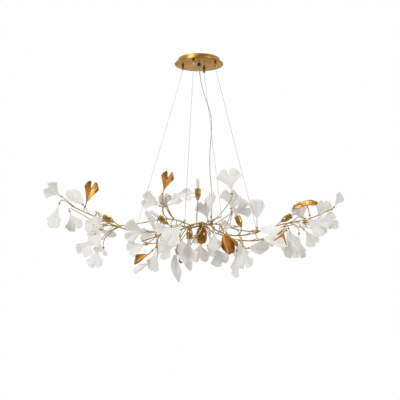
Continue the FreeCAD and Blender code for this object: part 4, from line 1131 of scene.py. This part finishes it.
# Hub: neck, bowl and finial on one axis
hubValues = {
    "neckRadius": 0.015, "neckHeight": 0.031, "neckRounding": 3.75, "boreRadius": 0.0062,
    "boreDepth": 0.0005, "boreTaper": 0.0004, "bowlRadius": 0.029, "bowlHeight": 0.076, "bowlTop": 0.018,
    "bowlFoot": 0.019, "footRim": 0.0015, "footDish": 0.0006, "dishTaper": 0.0005, "bellyShare": 0.5,
    "finialRadius": 0.006, "finialHeight": 0.006, "finialNeck": 0.005, "finialTip": 0.0004,
    "finialSwellShare": 0.6, "neckSides": 48, "bowlSides": 64, "bowlSteps": 28, "finialSides": 32,
    "finialSteps": 16,
}
hubMiddle = placeSeen(sprayValues["hubPixel"], sprayValues["levelPixel"], 0)
upright = Matrix.Identity(3)
neckTop = hubValues["neckHeight"] / 2
boreFloor = neckTop - hubValues["boreDepth"]
neckPattern = turnedMesh("hubNeck", (
    (0, -neckTop, 0), (hubValues["neckRadius"], -neckTop, hubValues["neckRounding"]),
    (hubValues["neckRadius"], neckTop, hubValues["neckRounding"]), (hubValues["boreRadius"], neckTop, 0.6),
    (hubValues["boreRadius"] - hubValues["boreTaper"], boreFloor, 0), (0, boreFloor, 0),
), hubValues["neckSides"], steps=4)
setOut("hubNeck", neckPattern, [(hubMiddle, upright)], darkPolishedBrass, "dark_gold", "hub_neck")

bowlHeight = hubValues["bowlHeight"]
bowlFoot = hubValues["bowlFoot"]
rimInside = bowlFoot - hubValues["footRim"]
bowlLow = hubMiddle - Vector((0, 0, neckTop + bowlHeight))
bowlPattern = turnedMesh("hubBowl", [
    (0, hubValues["footDish"], 0), (rimInside - hubValues["dishTaper"], hubValues["footDish"], 0.3),
    (rimInside, 0, 0.2),
    *arcOutline((bowlFoot, 0), (hubValues["bowlRadius"], bowlHeight * hubValues["bellyShare"]),
                (hubValues["bowlTop"], bowlHeight), hubValues["bowlSteps"]),
    (0, bowlHeight, 0),
], hubValues["bowlSides"])
setOut("hubBowl", bowlPattern, [(bowlLow, upright)], darkPolishedBrass, "dark_gold", "hub_bowl")

finialHeight = hubValues["finialHeight"]
finialPattern = turnedMesh("hubFinial", [
    (0, 0, 0),
    *arcOutline((hubValues["finialTip"], 0),
                (hubValues["finialRadius"], finialHeight * hubValues["finialSwellShare"]),
                (hubValues["finialNeck"], finialHeight), hubValues["finialSteps"]),
    (0, finialHeight, 0),
], hubValues["finialSides"])
setOut("hubFinial", finialPattern, [(bowlLow - Vector((0, 0, finialHeight)), upright)], darkPolishedBrass,
       "dark_gold", "hub_finial")
print("hub turned")

# Canopy: drum and plate on the ceiling's middle, then the wire grippers under the plate
canopyValues = {
    "drumRadius": 0.107, "drumHeight": 0.025, "wall": 0.0015, "flange": 0.01, "plateRadius": 0.125,
    "plateThickness": 0.003, "rimWidth": 0.0048, "grooveWidth": 0.0012, "grooveTaper": 0.0002,
    "grooveDepth": 0.0003, "sides": 160,
}
drumRadius = canopyValues["drumRadius"]
drumFoot = -canopyValues["drumHeight"]
wall = canopyValues["wall"]
drumPattern = turnedMesh("canopyDrum", (
    (drumRadius, drumFoot, 0.6), (drumRadius, 0, 0.5), (drumRadius - wall, 0, 0.4),
    (drumRadius - wall, drumFoot + wall, 0.5), (drumRadius - canopyValues["flange"], drumFoot + wall, 0.4),
    (drumRadius - canopyValues["flange"], drumFoot, 0.4),
), canopyValues["sides"], hollow=True)
setOut("canopyDrum", drumPattern, [(Vector((0, 0, 0)), upright)], spunBrass, "satin_brass", "canopy_drum")

plateRadius = canopyValues["plateRadius"]
plateUnder = drumFoot - canopyValues["plateThickness"]
grooveTop = plateUnder + canopyValues["grooveDepth"]
grooveOut = plateRadius - canopyValues["rimWidth"]
grooveIn = grooveOut - canopyValues["grooveWidth"]
platePattern = turnedMesh("canopyPlate", (
    (0, plateUnder, 0), (grooveIn, plateUnder, 0.2),
    (grooveIn + canopyValues["grooveTaper"], grooveTop, 0.1),
    (grooveOut - canopyValues["grooveTaper"], grooveTop, 0.1), (grooveOut, plateUnder, 0.2),
    (plateRadius, plateUnder, 1.4), (plateRadius, drumFoot, 0.5), (0, drumFoot, 0),
), canopyValues["sides"], steps=4)
setOut("canopyPlate", platePattern, [(Vector((0, 0, 0)), upright)], plateBrassPaintedReflection, "satin_brass",
       "canopy_plate")

gripperValues = {
    "ring": 0.088, "angles": (162, -18, 252, 72), "barrelRadius": 0.0065, "barrelHeight": 0.018,
    "grooveDepth": 0.0004, "grooveShares": (0.45, 0.47, 0.53, 0.55), "cavity": 0.0043, "cavityDepth": 0.012,
    "noseRadius": 0.004, "noseLength": 0.015, "noseTaper": 0.003, "noseTipShare": 0.6, "noseTravel": 0.002,
    "gap": 0.0003, "bore": 0.00105, "sides": 32, "noseSides": 28,
}
gripperPlaces = [(Vector((gripperValues["ring"] * math.cos(math.radians(angle)),
                          gripperValues["ring"] * math.sin(math.radians(angle)), plateUnder)), upright)
                 for angle in gripperValues["angles"]]
barrelRadius = gripperValues["barrelRadius"]
bore = gripperValues["bore"]
mouth = -gripperValues["barrelHeight"]
cavityTop = mouth + gripperValues["cavityDepth"]
grooveFloor = barrelRadius - gripperValues["grooveDepth"]
grooves = [mouth * share for share in gripperValues["grooveShares"]]
barrelPattern = turnedMesh("gripperBarrel", (
    (bore, 0, 0), (barrelRadius, 0, 0.3), (barrelRadius, grooves[0], 0.2), (grooveFloor, grooves[1], 0),
    (grooveFloor, grooves[2], 0), (barrelRadius, grooves[3], 0.2), (barrelRadius, mouth, 0.9),
    (gripperValues["cavity"], mouth, 0.3), (gripperValues["cavity"], cavityTop, 0), (bore, cavityTop, 0),
), gripperValues["sides"], hollow=True)
setOut("gripperBarrels", barrelPattern, gripperPlaces, machinedBrass, "satin_brass", "gripper_bodies")

noseRadius = gripperValues["noseRadius"]
noseTop = cavityTop - gripperValues["noseTravel"] - gripperValues["gap"]
noseLow = noseTop - gripperValues["noseLength"]
nosePattern = turnedMesh("gripperNose", (
    (bore, noseTop, 0), (noseRadius, noseTop, 0.3), (noseRadius, noseLow + gripperValues["noseTaper"], 0.6),
    (noseRadius * gripperValues["noseTipShare"], noseLow, 0.4), (bore, noseLow, 0),
), gripperValues["noseSides"], hollow=True)
for number, place in enumerate(gripperPlaces, 1):
    setOut("gripperNose%d" % number, nosePattern.copy(), [place], nickelPlate, "nickel",
           "gripper_nose_%d" % number, body="gripper_nose_%d" % number)
print("canopy closed")

# The pieces whose CAD shape stays get their finish here
nodeFinishes = {
    "ceiling_bracket": zincPlatedSteel, "drum_side_screws": spunBrass, "plate_nuts": zincPlatedSteel,
    "terminal_block": mouldedPolycarbonate, "earth_screw": machinedBrass, "cable_gland": mouldedNylon,
    "gland_nut": zincPlatedSteel, "gripper_nuts": zincPlatedSteel, "cable_entry": darkPolishedBrass,
    "wire_collars": turnedBrass, "wire_ferrules": nickelPlate, "hub_tie_rod": zincPlatedSteel,
}
for nodeName, finish in nodeFinishes.items():
    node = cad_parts[nodeName]
    node.data.materials.clear()
    node.data.materials.append(finish)

# Light
lightValues = {
    "floorRadius": 2.6, "floorLevel": -2.4, "floorSides": 96, "floor": "#F4F3F0", "floorRoughness": 0.8,
    "background": "#FFFFFF", "room": "#B4B1AB", "roomFade": (-0.55, 0.35), "fill": "#FFFFFF",
    "fillStrength": 0.5, "aim": (0, 0, -0.75),
    "lamps": {
        "keyLamp": {"place": (-2.6, -3.0, 1.4), "size": 1.8, "power": 78},
        "fillLamp": {"place": (3.2, -2.4, 0.2), "size": 1.6, "power": 30},
        "overheadLamp": {"place": (0.2, 0.6, 2.2), "size": 1.6, "power": 30},
    },
}


def stageFloor():
    mesh = bpy.data.meshes.new("stageFloor")
    shape = bmesh.new()
    bmesh.ops.create_circle(shape, cap_ends=True, segments=lightValues["floorSides"],
                            radius=lightValues["floorRadius"])
    shape.to_mesh(mesh)
    shape.free()
    mesh.transform(Matrix.Translation((0, 0, lightValues["floorLevel"])))
    mesh.materials.append(startFinish("paleFloor", Roughness=lightValues["floorRoughness"],
                                      Base_Color=linearColour(lightValues["floor"]))[0])
    linked(bpy.data.objects.new("stageFloor", mesh))


def studioWorld():
    # white behind the object; metal sees it too, with a darker room on the viewer's side
    world = bpy.data.worlds.new("studio")
    bpy.context.scene.world = world
    world.use_nodes = True
    tree = world.node_tree
    tree.nodes.clear()
    rays = addNode(tree, "ShaderNodeLightPath").outputs
    way = addNode(tree, "ShaderNodeTexCoord").outputs["Generated"]
    parts = addNode(tree, "ShaderNodeSeparateXYZ", {0: way}).outputs
    depth = addNode(tree, "ShaderNodeMapRange", {
        "Value": parts[1], "From Min": lightValues["roomFade"][0], "From Max": lightValues["roomFade"][1]},
        interpolation_type="SMOOTHSTEP")
    seen = addNode(tree, "ShaderNodeMix", {
        "Factor": depth, 6: linearColour(lightValues["room"]), 7: linearColour(lightValues["background"])},
        data_type="RGBA")
    reflected = addNode(tree, "ShaderNodeMix", {
        "Factor": rays["Is Camera Ray"], 6: seen.outputs[2], 7: linearColour(lightValues["background"])},
        data_type="RGBA")
    sharp = addNode(tree, "ShaderNodeMath", {0: rays["Is Camera Ray"], 1: rays["Is Glossy Ray"]},
                    operation="MAXIMUM")
    shown = addNode(tree, "ShaderNodeMath", {0: sharp, 1: rays["Is Transmission Ray"]}, operation="MAXIMUM")
    background = addNode(tree, "ShaderNodeBackground", {"Color": reflected.outputs[2], "Strength": 1})
    fill = addNode(tree, "ShaderNodeBackground", {"Color": linearColour(lightValues["fill"]),
                                                  "Strength": lightValues["fillStrength"]})
    both = addNode(tree, "ShaderNodeMixShader", {0: shown, 1: fill, 2: background})
    addNode(tree, "ShaderNodeOutputWorld", {0: both})


def softLamps():
    target = Vector(lightValues["aim"])
    for name, values in lightValues["lamps"].items():
        light = bpy.data.lights.new(name, "AREA")
        light.shape = "DISK"
        light.size = values["size"]
        light.energy = values["power"]
        lamp = linked(bpy.data.objects.new(name, light))
        lamp.location = values["place"]
        lamp.rotation_euler = (target - lamp.location).to_track_quat("-Z", "Y").to_euler()


stageFloor()
studioWorld()
softLamps()
bpy.context.scene.view_settings.view_transform = "Standard"
print("stage lit")

bpy.context.view_layer.update()
